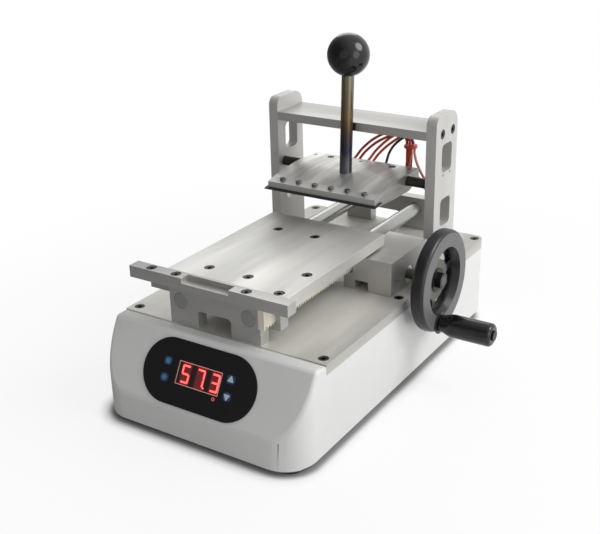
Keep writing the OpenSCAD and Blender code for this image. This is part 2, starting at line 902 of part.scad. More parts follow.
// Pinion block: a ledge that the rack passes over, a pocket for the pinion and a tall leg for the bearings
module pinion_block() {
    color("gainsboro") difference() {
        along(gear_block_y, gear_block_l) polygon([
            [gear_block_left, lip_z],
            [gear_block_left, gear_ledge_z],
            [gear_step_x, gear_ledge_z],
            [gear_step_x, gear_block_z],
            [gear_block_right, gear_block_z],
            [gear_block_right, lip_z],
            [gear_way_right, lip_z],
            [gear_way_right, gear_way_z],
            [gear_way_left, gear_way_z],
            [gear_way_left, lip_z]
        ]);
        box(
            gear_block_left - over, gear_step_x, axle_y - pocket_l / 2, axle_y + pocket_l / 2,
            lip_z - over, gear_ledge_z + over
        );
        bar_x(shaft_hole_d, gear_block_left - over, gear_way_right + over, axle_y, axle_z);
        bar_x(bearing_d, gear_way_right, gear_block_right + over, axle_y, axle_z);
        for (p = block_mark_places)
            bar_x(mark_d, gear_block_right - screw_head_h, gear_block_right + over, p[0], p[1]);
    }
}

module shaft_bearings() {
    color("silver") for (x = [gear_way_right + bore_step, gear_block_right - bearing_t - bore_step])
        difference() {
            bar_x(bearing_d, x, x + bearing_t, axle_y, axle_z);
            bar_x(shaft_d + 2 * slip, x - over, x + bearing_t + over, axle_y, axle_z);
        }
}

// Angle of the involute at a radius, in degrees
function involute(r) = let (a = r > base_r ? acos(base_r / r) : 0) tan(a) * 180 / PI - a;

// One side of a tooth from root to tip, as points about the axis with the tooth pointing up
function flank(side) = [
    for (i = [0 : 5])
        let (
            low_r = pitch_r - root_share * tooth_module,
            tip_r = pitch_r + tip_share * tooth_module,
            r = low_r + (tip_r - low_r) * i / 5,
            play = backlash / 4 / pitch_r * 180 / PI,
            half = 90 / pinion_teeth - play + involute(pitch_r) - involute(r)
        )
        [side * r * sin(half), r * cos(half)]
];

module pinion() {
    low_r = pitch_r - root_share * tooth_module;
    right = flank(1);
    left = flank(-1);
    tooth = concat([[0, 0]], right, [for (k = [5 : -1 : 0]) left[k]]);
    color("silver") translate(at([rack_x, axle_y, axle_z])) rotate([90, 0, 90])
        linear_extrude(rack_w) difference() {
            union() {
                circle(low_r + slip);
                for (i = [0 : pinion_teeth - 1]) rotate(i * 360 / pinion_teeth) polygon(tooth);
            }
            circle(d = shaft_d);
        }
}

module wheel_shaft() {
    color("silver") bar_x(shaft_d, shaft_left, wheel_x + spoke_t + washer_t + nut_t + slip, axle_y, axle_z);
}

// Half section of the rim: radius and place along the axis, with round outer edges
rim_section = [
    [rim_deep_r, 0],
    [wheel_d / 2 - rim_round, 0],
    for (a = [15 : 15 : 90])
        [wheel_d / 2 - rim_round * (1 - sin(a)), rim_round * (1 - cos(a))],
    for (a = [0 : 15 : 90])
        [wheel_d / 2 - rim_round * (1 - cos(a)), wheel_t - rim_round * (1 - sin(a))],
    [rim_face_r, wheel_t],
    [rim_deep_r, spoke_t + rim_step]
];

module handwheel() {
    color("black") difference() {
        translate(at([wheel_x, axle_y, axle_z])) rotate([90, 0, 90]) {
            rotate_extrude($fn = 96) polygon(rim_section);
            cylinder(r = hub_r, h = spoke_t);
            translate([0, 0, -boss_l]) cylinder(r = boss_r, h = boss_l + slip);
            for (i = [0 : spokes_n - 1]) rotate(crank_angle + i * 360 / spokes_n)
                translate([0, -spoke_w / 2, 0]) cube([rim_deep_r + over, spoke_w, spoke_t]);
        }
        bar_x(shaft_d, wheel_x - boss_l - over, wheel_x + wheel_t, axle_y, axle_z);
        bar_x(spindle_d, wheel_x - over, wheel_x + wheel_t + over, grip_y, grip_z);
    }
}

module wheel_nut() {
    color("dimgray") difference() {
        translate(at([wheel_x + spoke_t, axle_y, axle_z])) rotate([0, 90, 0]) {
            cylinder(r = washer_r, h = washer_t);
            cylinder(r = nut_r, h = washer_t + nut_t, $fn = 6);
        }
        bar_x(shaft_d, wheel_x, wheel_x + wheel_t, axle_y, axle_z);
    }
}

module grip_spindle() {
    color("silver") {
        bar_x(spindle_d, wheel_x, grip_x + grip_l + 2 * gap, grip_y, grip_z);
        bar_x(spindle_head_d + washer_r, wheel_x + wheel_t, grip_x - gap, grip_y, grip_z);
        bar_x(spindle_head_d, grip_x + grip_l + gap, grip_x + grip_l + washer_t + gap, grip_y, grip_z);
    }
}

// Half section of the crank grip: it swells from its neck and is rounded at the end
grip_section = [
    [spindle_d / 2 + slip, 0],
    for (i = [0 : 6])
        [grip_neck_d / 2 + (grip_d - grip_neck_d) / 4 * (1 - cos(i * 30)), grip_swell_l * i / 6],
    for (a = [0 : 15 : 90])
        [grip_d / 2 - grip_round * (1 - cos(a)), grip_l - grip_round * (1 - sin(a))],
    [spindle_d / 2 + slip, grip_l]
];

module crank_grip() {
    color("black") translate(at([grip_x, grip_y, grip_z])) rotate([0, 90, 0])
        rotate_extrude() polygon(grip_section);
}

// Side view of an upright, its two top corners rounded differently
module upright_side() {
    h = upright_z - lip_z;
    difference() {
        translate([upright_y, lip_z]) {
            square([upright_l, h - top_back_r]);
            translate([top_front_r, 0]) square([upright_l - top_front_r - top_back_r, h]);
            square([upright_l - top_back_r, h - top_front_r]);
            translate([top_front_r, h - top_front_r]) circle(top_front_r);
            translate([upright_l - top_back_r, h - top_back_r]) circle(top_back_r);
        }
        for (z = [low_window_z, high_window_z])
            translate([window_y + window_w / 2, z + window_h / 2])
                round_rect(window_w, window_h, window_r);
    }
}

// Upright with its blind pivot bore on the inner face and counterbored screw holes on the outer face
module upright(side) {
    outer = upright_x + upright_t;
    middle = side * (upright_x + upright_t / 2);
    pin_middle = side * (upright_x + pin_depth / 2);
    color("gainsboro") difference() {
        across(middle - upright_t / 2, upright_t) upright_side();
        bar_x(
            pivot_d, pin_middle - pin_depth / 2 - (side > 0 ? over : 0),
            pin_middle + pin_depth / 2 + (side > 0 ? 0 : over), pivot_y, pivot_z
        );
        for (y = cross_screw_ys)
            translate(at([side * outer, y, crossbar_z + crossbar_t / 2]))
                rotate([0, side * 90, 0]) screw_hole(upright_t + over);
        for (y = mark_ys) bar_x(mark_d, side * outer - over, side * outer + over, y, mark_z);
    }
}
module left_upright() { upright(-1); }
module right_upright() { upright(1); }

module crossbar() {
    color("gainsboro") difference() {
        box(-upright_x, upright_x, upright_y, upright_y + upright_l, crossbar_z, crossbar_z + crossbar_t);
        for (side = [-1, 1], y = cross_screw_ys)
            translate(at([side * (upright_x - plate_t), y, crossbar_z + crossbar_t / 2]))
                rotate([0, side * 90, 0]) cylinder(d = screw_d, h = plate_t + over);
    }
}

module crossbar_screws() {
    shank = upright_t - screw_head_h - bore_step;
    color("dimgray") for (side = [-1, 1], y = cross_screw_ys)
        translate(at([side * (upright_x + shank), y, crossbar_z + crossbar_t / 2]))
            rotate([0, side * 90, 0]) cap_screw(shank + plate_t);
}

// Pad on the crossbar that the raised lever rests against
module lever_stop() {
    color("dimgray") box(
        lever_x - stop_w / 2, lever_x + stop_w / 2, upright_y - stop_t, upright_y,
        crossbar_z + gap, crossbar_z + gap + stop_h
    );
}

module pivot_pins() {
    color("dimgray") {
        bar_x(pivot_d, pin_in, upright_x + pin_depth, pivot_y, pivot_z);
        bar_x(pivot_d, -upright_x - pin_depth, -pin_in, pivot_y, pivot_z);
    }
}

// Height of the blade's underside at a distance back
function under_blade(y) = blade_z + (y - blade_y) * tan(blade_tilt);

// Side view of the head: a ledge under the blade, a gently arched top and a thin back
module head_side() {
    arch_l = pivot_y - arch_end - clamp_back_y;
    arch_h = pivot_z + arch_rise - clamp_back_z;
    polygon([
        [ledge_y, pivot_z - nose_drop],
        [ledge_y, under_blade(ledge_y)],
        [clamp_back_y, under_blade(clamp_back_y)],
        [clamp_back_y, clamp_back_z],
        for (share = arch_shares) [clamp_back_y + share[0] * arch_l, clamp_back_z + share[1] * arch_h],
        [pivot_y - arch_end, pivot_z + arch_rise],
        [pivot_y + arch_end, pivot_z + tail_half_t],
        [head_back_y, pivot_z + tail_half_t],
        [head_back_y, pivot_z - tail_half_t],
        [pivot_y + keel_end, pivot_z - keel_drop],
        [pivot_y + belly_end, pivot_z - belly_drop],
        [pivot_y - chest_front, pivot_z - chest_drop]
    ]);
}

// Frame along the lever, from its place on the top of the head
module on_lever() {
    translate(at([lever_x, lever_y, lever_root_z])) rotate([-lever_lean, 0, 0]) children();
}

module blade_head() {
    color("gainsboro") difference() {
        across(-head_x, 2 * head_x) head_side();
        bar_x(pivot_d + 2 * slip, pin_in - gap, head_x + over, pivot_y, pivot_z);
        bar_x(pivot_d + 2 * slip, -head_x - over, -pin_in + gap, pivot_y, pivot_z);
        for (x = heater_xs) bar_y(heater_d, x, head_back_y - heater_l, head_back_y + over, heater_z);
        bar_y(sensor_d, sensor_x, head_back_y - heater_l / 2, head_back_y + over, heater_z);
        for (x = small_hole_xs) head_hole(small_hole_d, x);
        for (x = large_hole_xs) head_hole(large_hole_d, x);
        on_lever() translate([0, 0, -lever_in]) cylinder(d = lever_d, h = lever_in + lever_d);
        blade_screw_holes();
    }
}

// Blind hole in the top of the head's back
module head_hole(d, x) {
    bar_z(d, x, head_hole_y, pivot_z + tail_half_t - head_hole_l, pivot_z + tail_half_t + over);
}

module blade_screw_holes() {
    for (x = blade_screw_xs) bar_z(blade_screw_d, x, blade_screw_y, pivot_z - lever_d, clamp_back_z + over);
}

// Bar that clamps the blade, flush with the head's ends
module blade_clamp_bar() {
    color("lightgray") difference() {
        across(-head_x, 2 * head_x) polygon([
            [clamp_y, under_blade(clamp_y) + blade_t],
            [clamp_y, clamp_front_z],
            [clamp_back_y, clamp_back_z],
            [clamp_back_y, under_blade(clamp_back_y) + blade_t]
        ]);
        blade_screw_holes();
        for (x = blade_screw_xs)
            bar_z(
                blade_screw_head_d + 2 * bore_step, x, blade_screw_y,
                blade_screw_seat_z, clamp_back_z + over
            );
    }
}

module blade() {
    end_y = blade_y + blade_l;
    color("dimgray") difference() {
        across(-blade_x, 2 * blade_x) polygon([
            [blade_y, blade_z],
            [blade_y + blade_bevel, under_blade(blade_y + blade_bevel) + blade_t],
            [end_y, under_blade(end_y) + blade_t],
            [end_y, under_blade(end_y)]
        ]);
        blade_screw_holes();
    }
}

module blade_screws() {
    shank = 6 * blade_t;
    color("silver") for (x = blade_screw_xs) translate(at([x, blade_screw_y, blade_screw_seat_z])) {
        difference() {
            cylinder(d = blade_screw_head_d, h = blade_screw_head_h);
            translate([0, 0, blade_screw_head_h / 2])
                cylinder(d = blade_screw_d, h = blade_screw_head_h, $fn = 6);
        }
        translate([0, 0, -shank]) cylinder(d = blade_screw_d, h = shank + slip);
    }
}

module head_heaters() {
    color("silver") for (x = heater_xs) bar_y(heater_d, x, head_back_y - heater_l, head_back_y, heater_z);
}

module head_sensor() {
    color("silver") bar_y(sensor_d, sensor_x, head_back_y - heater_l / 2, head_back_y, heater_z);
}

module lever_rod() {
    color("tan") on_lever() translate([0, 0, -lever_in])
        cylinder(d = lever_d, h = lever_l + lever_in - ball_d / 2 + ball_in);
}

module lever_ball() {
    color("black") on_lever() difference() {
        translate([0, 0, lever_l]) sphere(d = ball_d, $fn = 96);
        translate([0, 0, lever_l - ball_d]) cylinder(d = lever_d, h = ball_d / 2 + ball_in);
    }
}

// Smooth curve through a route's points, stepped evenly between each pair
function blend(a, b, c, d, t) =
    b + (c - a) / 2 * t
    + (2 * a - 5 * b + 4 * c - d) / 2 * t ^ 2
    + (3 * b - a - 3 * c + d) / 2 * t ^ 3;
function spline(p, n) = [
    for (i = [0 : len(p) - 2])
        for (k = [0 : (i == len(p) - 2 ? n : n - 1)])
            blend(p[max(i - 1, 0)], p[i], p[i + 1], p[min(i + 2, len(p) - 1)], k / n)
];
function unit(v) = v / norm(v);

// Tube of a diameter along a route
module tube(route, d, n) {
    p = spline(route, n);
    last = len(p) - 1;
    lean = [1, -1, 1];
    rings = [
        for (i = [0 : last])
            let (
                run = unit(
                    i == 0 ? route[1] - route[0]
                        : i == last ? route[len(route) - 1] - route[len(route) - 2]
                        : p[i + 1] - p[i - 1]
                ),
                u = unit(cross(run, lean)),
                v = cross(run, u)
            )
            for (k = [0 : wire_sides - 1])
                let (a = k * 360 / wire_sides)
                at(p[i]) + d / 2 * (u * cos(a) + v * sin(a))
    ];
    polyhedron(
        rings,
        concat(
            [[for (k = [0 : wire_sides - 1]) k]],
            [
                for (i = [0 : last - 1])
                    for (k = [0 : wire_sides - 1])
                        let (next = (k + 1) % wire_sides)
                        each [
                            [i * wire_sides + k, (i + 1) * wire_sides + k, (i + 1) * wire_sides + next],
                            [i * wire_sides + k, (i + 1) * wire_sides + next, i * wire_sides + next]
                        ]
            ],
            [[for (k = [wire_sides - 1 : -1 : 0]) last * wire_sides + k]]
        )
    );
}

// Pair of wires side by side along a route, which go over the arch as one
function pair_shift(k) = k < 0 ? [1, 0, -1] : pair_end_shares[k];
module wire_pair(route) {
    arch = len(route) - len(pair_end_shares);
    for (side = [-1, 1])
        tube(
            [for (i = [0 : len(route) - 1]) route[i] + side * wire_split * pair_shift(i - arch)],
            wire_d, 3
        );
}

module red_wires() { color("red") wire_pair(red_route); }
module orange_wires() { color("orangered") wire_pair(orange_route); }
module black_wire() { color("black") tube(black_route, wire_d, 3); }
module pink_wire() { color("lightpink") tube(pink_route, wire_d, 3); }
module wire_bundle() { color("orangered") tube(bundle_route, bundle_d, 3); }

// Tie round the wires where they meet the bundle
module cable_tie() {
    color("red") bar_z(tie_d, tie_x, tie_y, tie_z, tie_z + tie_t);
}

module wire_grommet() {
    color("black") translate(at([grommet_x, grommet_y, plate_z])) {
        cylinder(d = grommet_d, h = plate_t);
        translate([0, 0, plate_t]) cylinder(d = grommet_d + 2 * grommet_rim, h = grommet_rise);
    }
}

base_casing();
bottom_cover();
rubber_feet();
cover_screws();
top_plate();
plate_screws();
control_panel();
display_module();
circuit_board();
board_posts();
key_switches();
button_upper_left();
button_lower_left();
button_upper_right();
button_lower_right();
power_inlet();
inlet_pins();
switch_housing();
switch_rocker();
front_end_block();
rear_end_block();
guide_rods();
guide_bushes();
front_cross_member();
rear_cross_member();
table_plate();
front_bar();
table_screws();
rack();
pinion_block();
shaft_bearings();
pinion();
wheel_shaft();
handwheel();
wheel_nut();
grip_spindle();
crank_grip();
left_upright();
right_upright();
crossbar();
crossbar_screws();
lever_stop();
pivot_pins();
blade_head();
blade_clamp_bar();
blade();
blade_screws();
head_heaters();
head_sensor();
lever_rod();
lever_ball();
red_wires();
orange_wires();
black_wire();
pink_wire();
wire_bundle();
cable_tie();
wire_grommet();
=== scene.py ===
# Glue remover for flat screens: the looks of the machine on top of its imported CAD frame
import json
import math

import bpy
from mathutils import Matrix, Vector


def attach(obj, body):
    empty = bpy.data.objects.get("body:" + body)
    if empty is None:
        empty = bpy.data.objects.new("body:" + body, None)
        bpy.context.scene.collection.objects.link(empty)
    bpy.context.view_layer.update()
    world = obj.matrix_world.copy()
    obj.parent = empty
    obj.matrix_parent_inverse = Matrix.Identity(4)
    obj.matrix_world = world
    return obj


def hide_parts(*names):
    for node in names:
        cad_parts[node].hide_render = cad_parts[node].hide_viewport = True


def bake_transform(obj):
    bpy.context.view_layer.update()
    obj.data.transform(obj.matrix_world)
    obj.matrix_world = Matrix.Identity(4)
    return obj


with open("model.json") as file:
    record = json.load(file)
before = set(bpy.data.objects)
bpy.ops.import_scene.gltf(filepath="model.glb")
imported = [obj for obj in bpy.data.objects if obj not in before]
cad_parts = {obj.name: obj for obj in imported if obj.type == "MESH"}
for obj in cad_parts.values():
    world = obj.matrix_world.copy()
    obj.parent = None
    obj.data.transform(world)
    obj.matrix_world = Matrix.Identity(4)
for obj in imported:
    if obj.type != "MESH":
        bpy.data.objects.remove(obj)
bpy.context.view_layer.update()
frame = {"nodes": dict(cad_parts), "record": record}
nodes = frame["nodes"]
record = frame["record"]
bodyOf = {node: body for body, group in record["behaviour"]["bodies"].items() for node in group}
slotOf = {part["node"]: part["material_slot"] for part in record["subparts"]}
mm = 0.001
frontWall = -152 * mm  # the front wall of the base; part.scad measures distances back from it
print("frame loaded")

# The photograph's view
view = {
    "place": (0.3841, -0.5972, 0.3839),
    "towards": (-0.5030, 0.7698, -0.3930),
    "roll": -1.36,
    "lens": 58.62,
    "sensor": 36,
}
forward = Vector(view["towards"]).normalized()
level = forward.cross(Vector((0, 0, 1))).normalized()
roll = math.radians(view["roll"])
right = level * math.cos(roll) + level.cross(forward) * math.sin(roll)
above = right.cross(forward)
cameraData = bpy.data.cameras.new("camera")
cameraData.lens = view["lens"]
cameraData.sensor_width = view["sensor"]
camera = bpy.data.objects.new("camera", cameraData)
bpy.context.collection.objects.link(camera)
turn = Matrix((right, above, -forward)).transposed().to_4x4()
camera.matrix_world = Matrix.Translation(view["place"]) @ turn
bpy.context.scene.camera = camera
print("camera placed")


class Amount:  # a shader socket that takes part in sums
    def __init__(self, tree, socket):
        self.tree = tree
        self.socket = socket

    def math(self, operation, *parts):
        node = self.tree.nodes.new("ShaderNodeMath")
        node.operation = operation
        for socket, part in zip(node.inputs, parts):
            if isinstance(part, Amount):
                self.tree.links.new(part.socket, socket)
            else:
                socket.default_value = part
        return Amount(self.tree, node.outputs[0])

    def __add__(self, other):
        return self.math("ADD", self, other)

    def __radd__(self, other):
        return self.math("ADD", other, self)

    def __sub__(self, other):
        return self.math("SUBTRACT", self, other)

    def __rsub__(self, other):
        return self.math("SUBTRACT", other, self)

    def __mul__(self, other):
        return self.math("MULTIPLY", self, other)

    def __rmul__(self, other):
        return self.math("MULTIPLY", other, self)

    def __abs__(self):
        return self.math("ABSOLUTE", self)


class Shading:  # adds nodes to a tree
    def __init__(self, tree):
        self.tree = tree

    def node(self, kind, settings=None, inputs=None, out=0):
        node = self.tree.nodes.new(kind)
        for name, value in (settings or {}).items():
            if name == "stops":
                ramp = node.color_ramp
                while len(ramp.elements) < len(value):
                    ramp.elements.new(0.5)
                for element, (position, color) in zip(ramp.elements, value):
                    element.position = position
                    element.color = (*color, 1)
            else:
                setattr(node, name, value)
        for key, value in (inputs or {}).items():
            self.feed(node.inputs[key], value)
        return Amount(self.tree, node.outputs[out])

    def feed(self, socket, value):
        if isinstance(value, Amount):
            self.tree.links.new(value.socket, socket)
        elif socket.type == "RGBA" and len(value) == 3:
            socket.default_value = (*value, 1)
        else:
            socket.default_value = value

    def spread(self, value, low, high, newLow=0, newHigh=1):
        return self.node(
            "ShaderNodeMapRange",
            {"interpolation_type": "SMOOTHSTEP"},
            {"Value": value, "From Min": low, "From Max": high, "To Min": newLow, "To Max": newHigh},
        )

    # How far a place or direction lies towards a direction
    def towards(self, place, direction):
        return self.node(
            "ShaderNodeVectorMath", {"operation": "DOT_PRODUCT"},
            {0: place, 1: Vector(direction).normalized()}, "Value",
        )


class Finish(Shading):  # one material, put together from nodes
    def __init__(self, name, **shader):
        self.material = bpy.data.materials.new(name)
        self.material.use_nodes = True
        super().__init__(self.material.node_tree)
        self.shader = self.tree.nodes["Principled BSDF"]
        self.output = self.tree.nodes["Material Output"]
        self.place = self.node("ShaderNodeTexCoord", out="Object")
        self.set(**shader)

    def set(self, **shader):
        for name, value in shader.items():
            words = "".join(" " + c if c.isupper() else c for c in name)
            self.feed(self.shader.inputs[words.strip().title()], value)

    # Noise whose grain is drawn out along the axes that have a small stretch value
    def noise(self, scale, stretch=(1, 1, 1), detail=3, rough=0.55, shift=(0, 0, 0)):
        place = self.node(
            "ShaderNodeMapping",
            inputs={"Vector": self.place, "Location": shift, "Scale": stretch},
        )
        return self.node(
            "ShaderNodeTexNoise",
            inputs={"Vector": place, "Scale": scale, "Detail": detail, "Roughness": rough},
        )

    def blendColors(self, factor, first, second):
        return self.node("ShaderNodeMix", {"data_type": "RGBA"}, {0: factor, 6: first, 7: second}, 2)

    def along(self, axis):
        return self.node("ShaderNodeSeparateXYZ", inputs={0: self.place}, out="XYZ".index(axis))

    # Distance from a line along X through a place
    def fromAxis(self, y, z):
        place = self.node(
            "ShaderNodeMapping",
            inputs={"Vector": self.place, "Location": (0, -y, -z), "Scale": (0, 1, 1)},
        )
        return self.node("ShaderNodeVectorMath", {"operation": "LENGTH"}, {0: place}, "Value")

    def bump(self, height, strength, distance):
        return self.node(
            "ShaderNodeBump", inputs={"Height": height, "Strength": strength, "Distance": distance}
        )


# Brushed or milled aluminium: fine streaks along one axis over broad soft bands, which are painted
# reflection bands: the colour made lighter and darker along the streaks
def brushedMetal(name, streaks, color, roughness, metallic, band=0.12, grain=0.07, bandScale=26):
    finish = Finish(name)
    thin = tuple(0.02 if axis == streaks else 1 for axis in "XYZ")
    broad = tuple(0.12 if axis == streaks else 1 for axis in "XYZ")
    fine = finish.noise(2600, thin, 4, 0.7)
    soft = finish.noise(bandScale, broad, 3, 0.5)
    scratch = finish.spread(finish.noise(700, thin, 2, 0.6, (3, 5, 7)), 0.6, 0.72)
    dark = tuple(c * (1 - band) for c in color)
    light = tuple(min(1, c * (1 + band)) for c in color)
    # painted reflection bands: the colour lighter and darker in broad soft bands along the streaks
    tone = finish.blendColors(finish.spread(soft, 0.35, 0.65), dark, light)
    worn = finish.blendColors((fine - 0.5) * (grain * 6) + grain * 0.5, tone, (0.95, 0.94, 0.9))
    finish.set(
        baseColor=worn,
        metallic=metallic,
        roughness=roughness + (fine - 0.5) * 0.25 - (soft - 0.5) * 0.3 - scratch * 0.08,
        normal=finish.bump(fine + scratch * 0.4, 0.18, 0.00004),
    )
    return finish.material


def paintedSteel(name, color, roughness):
    finish = Finish(name)
    peel = finish.noise(1500, detail=2)
    cloud = finish.noise(14, detail=3)
    dust = finish.spread(finish.noise(420, detail=4), 0.68, 0.76)
    dull = tuple(c * 0.95 for c in color)
    tone = finish.blendColors(finish.spread(cloud, 0.35, 0.7), color, dull)
    finish.set(
        baseColor=finish.blendColors(dust * 0.2, tone, (0.5, 0.5, 0.48)),
        roughness=roughness + (cloud - 0.5) * 0.15 + dust * 0.15,
        normal=finish.bump(peel, 0.12, 0.00006),
        coatWeight=0.1,
        coatRoughness=0.3,
    )
    return finish.material


def mouldedPlastic(name, color, roughness, coat=0.0, grain=0.1):
    finish = Finish(name)
    pores = finish.noise(1900, detail=3)
    cloud = finish.noise(60, detail=2)
    scuff = finish.spread(finish.noise(300, (1, 0.3, 1), 4, 0.7), 0.62, 0.75)
    pale = tuple(min(1, c * 1.5 + 0.012) for c in color)
    finish.set(
        baseColor=finish.blendColors(scuff * 0.35, color, pale),
        roughness=roughness + (cloud - 0.5) * 0.1 + scuff * 0.2,
        normal=finish.bump(pores, grain, 0.00004),
        coatWeight=coat,
        coatRoughness=0.08,
    )
    return finish.material


# Turned or blackened steel, with a ground grain and bright worn spots
def hardSteel(name, color, roughness, metallic=1.0, worn=0.2, streaks=None):
    finish = Finish(name)
    stretch = tuple(0.03 if axis == streaks else 1 for axis in "XYZ") if streaks else (1, 1, 1)
    grain = finish.noise(1800, stretch, 3, 0.6)
    cloud = finish.noise(90, detail=3)
    rub = finish.spread(finish.noise(260, detail=4), 0.56, 0.72)
    bright = tuple(min(1, c * 2.2 + 0.08) for c in color)
    finish.set(
        baseColor=finish.blendColors(rub * worn, color, bright),
        metallic=metallic,
        roughness=roughness + (grain - 0.5) * 0.15 + (cloud - 0.5) * 0.12,
        normal=finish.bump(grain, 0.12, 0.00003),
    )
    return finish.material


# Silicone lead: soft sheen, slightly dusty and uneven in colour
def siliconeLead(name, color):
    finish = Finish(name)
    cloud = finish.noise(240, detail=3)
    pores = finish.noise(2400, detail=2)
    pale = tuple(min(1, c * 0.8 + 0.1) for c in color)
    finish.set(
        baseColor=finish.blendColors(finish.spread(cloud, 0.4, 0.75), color, pale),
        roughness=0.42 + (cloud - 0.5) * 0.2,
        normal=finish.bump(pores, 0.15, 0.00004),
    )
    return finish.material


def clearSelection():
    if bpy.context.object and bpy.context.object.mode != "OBJECT":
        bpy.ops.object.mode_set(mode="OBJECT")
    bpy.ops.object.select_all(action="DESELECT")


def pick(piece):
    clearSelection()
    piece.select_set(True)
    bpy.context.view_layer.objects.active = piece


def paint(piece, material):
    piece.data.materials.clear()
    piece.data.materials.append(material)


clearSelection()

# Wires from the head to the grommet; the points are part.scad's routes in millimetres
leads = {
    "thickness": 2.2,
    "apart": 1.35,
    "bundleTurn": 1.85,
    "twist": 5,
    "points": 6,
    "exit": 249.4,
    "height": 137.3,
    "tieLow": 156.5,
    "tieHigh": 159.8,
    "bendY": 254,
    "bendZ": 149,
}
routes = {
    "red": [(-14.8, leads["exit"], leads["height"]), (-14.8, 253.2, leads["height"]),
            (-13.4, 257.6, 140), (-8.6, 259.5, 147), (2, 257.4, 156.4), (13.5, 254.4, 163.6),
            (22, 252.6, 167.4), (29.2, 251.8, 169), (34.6, 251.8, 167.4), (37.2, 251.8, 163.2),
            (37.4, 251.8, leads["tieHigh"])],
    "orange": [(-1.2, leads["exit"], leads["height"]), (-1.2, 253.2, leads["height"]),
               (0, 257.6, 140), (4.4, 260, 147), (13, 259.6, 155.6), (21.5, 258.2, 162.2),
               (29, 257.4, 166.6), (34.2, 257.4, 166), (37, 257.4, 162.8),
               (37.4, 257.4, leads["tieHigh"])],
    "black": [(14, leads["exit"], leads["height"]), (14, 253.2, leads["height"]),
              (14.2, 257.4, 140), (15.8, 258.6, 147), (20, 257.2, 154), (25.6, 255.6, 159.8),
              (31.6, 254.8, 164.4), (37, 254.6, 164.8), (41, 254.6, 160.5)],
    "bundle": [(37.1, 254.6, leads["tieLow"]), (37.1, 254.6, 152.5), (35.6, 257, 145.5),
               (33.8, 261, 137.5), (36.5, 265.4, 129), (45, 267.6, 122), (54.6, 267.6, 117),
               (61, 266.6, 109.5), (61.6, 265.2, 98), (60.8, 264, 86), (60.8, 264, 72.5)],
    "pink": [(42, 254.2, leads["tieLow"]), (42, 254.2, 152.5), (44.4, 253.8, 145),
             (49.4, 254, 135.5), (56.4, 257, 123.5), (63, 260.4, 110.5), (66, 263, 97),
             (66, 264, 84), (66, 264, 72.5)],
}
# Where the second lead of a pair lies from the route, first beside it, then over the arch; the
# first lead lies opposite
pairStart = Vector((1, 0, -1))
pairEnd = [Vector((0, 0, -1)), Vector((-0.7, 0, -0.7)), Vector((-1, 0, 0)), Vector((-1, 0, 0))]


# A smooth curve through a route's points, the same one as in part.scad
def smoothRoute(route, steps):
    points = [Vector(p) for p in route]
    line = []
    for i in range(len(points) - 1):
        before = points[max(i - 1, 0)]
        start = points[i]
        end = points[i + 1]
        after = points[min(i + 2, len(points) - 1)]
        for k in range(steps + (i == len(points) - 2)):
            t = k / steps
            line.append((
                2 * start
                + (end - before) * t
                + (2 * before - 5 * start + 4 * end - after) * t * t
                + (3 * start - before - 3 * end + after) * t ** 3
            ) / 2)
    return [Vector((p.x * mm, p.y * mm + frontWall, p.z * mm)) for p in line]


def lineLength(line):
    return sum((b - a).length for a, b in zip(line, line[1:]))


# A round lead along a line, as a mesh tube with closed ends
def addLead(name, line, material, node, body="base"):
    curve = bpy.data.curves.new(name, "CURVE")
    curve.dimensions = "3D"
    curve.bevel_depth = leads["thickness"] * mm / 2
    curve.bevel_resolution = 3
    curve.use_fill_caps = True
    spline = curve.splines.new("POLY")
    spline.points.add(len(line) - 1)
    for point, place in zip(spline.points, line):
        point.co = (*place, 1)
    piece = bpy.data.objects.new(name, curve)
    bpy.context.collection.objects.link(piece)
    pick(piece)
    bpy.ops.object.convert(target="MESH")
    bpy.ops.object.shade_smooth()
    piece = bpy.context.object
    paint(piece, material)
    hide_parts(node)
    lineLength(line)
    if body:
        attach(piece, body)
    return piece


leadFinish = {
    "red": siliconeLead("redLead", (0.55, 0.03, 0.02)),
    "orange": siliconeLead("orangeLead", (0.72, 0.10, 0.025)),
    "black": siliconeLead("blackLead", (0.012, 0.012, 0.013)),
    "pink": siliconeLead("pinkLead", (0.72, 0.27, 0.25)),
}
headLeads = [
    ("redLeadLeft", "red", -1), ("redLeadRight", "red", 1),
    ("orangeLeadLeft", "orange", -1), ("orangeLeadRight", "orange", 1),
    ("blackLead", "black", 0),
]
for name, kind, side in headLeads:
    straight = len(routes[kind]) - len(pairEnd)
    route = [
        Vector(p) + side * leads["apart"] * (pairStart if i < straight else pairEnd[i - straight])
        for i, p in enumerate(routes[kind])
    ]
    line = smoothRoute(route, leads["points"])
    node = kind + ("_wire" if kind == "black" else "_wires")
    piece = addLead(name, line, leadFinish[kind], node, None)
    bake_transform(piece)

pinkLine = smoothRoute(routes["pink"], leads["points"])
addLead("pinkLead", pinkLine, leadFinish["pink"], "pink_wire")

# Past the tie the five leads run on side by side, slowly twisting round each other
bundleKinds = ["red", "orange", "black", "orange", "red"]
bundleLine = smoothRoute(routes["bundle"], leads["points"])
aside = Vector((1, -1, 1))  # a direction in which the bundle never runs
bundleRun = []
for i, point in enumerate(bundleLine):
    ahead = bundleLine[min(i + 1, len(bundleLine) - 1)] - bundleLine[max(i - 1, 0)]
    ahead.normalize()
    across = ahead.cross(aside).normalized()
    bundleRun.append((point, across, ahead.cross(across)))
for k, kind in enumerate(bundleKinds):
    line = []
    for i, (point, across, up) in enumerate(bundleRun):
        angle = math.radians(k * 360 / len(bundleKinds) + i * leads["twist"])
        outwards = across * math.cos(angle) + up * math.sin(angle)
        line.append(point + leads["bundleTurn"] * mm * outwards)
    addLead("bundleLead" + str(k + 1), line, leadFinish[kind], "wire_bundle")
print("wires made")


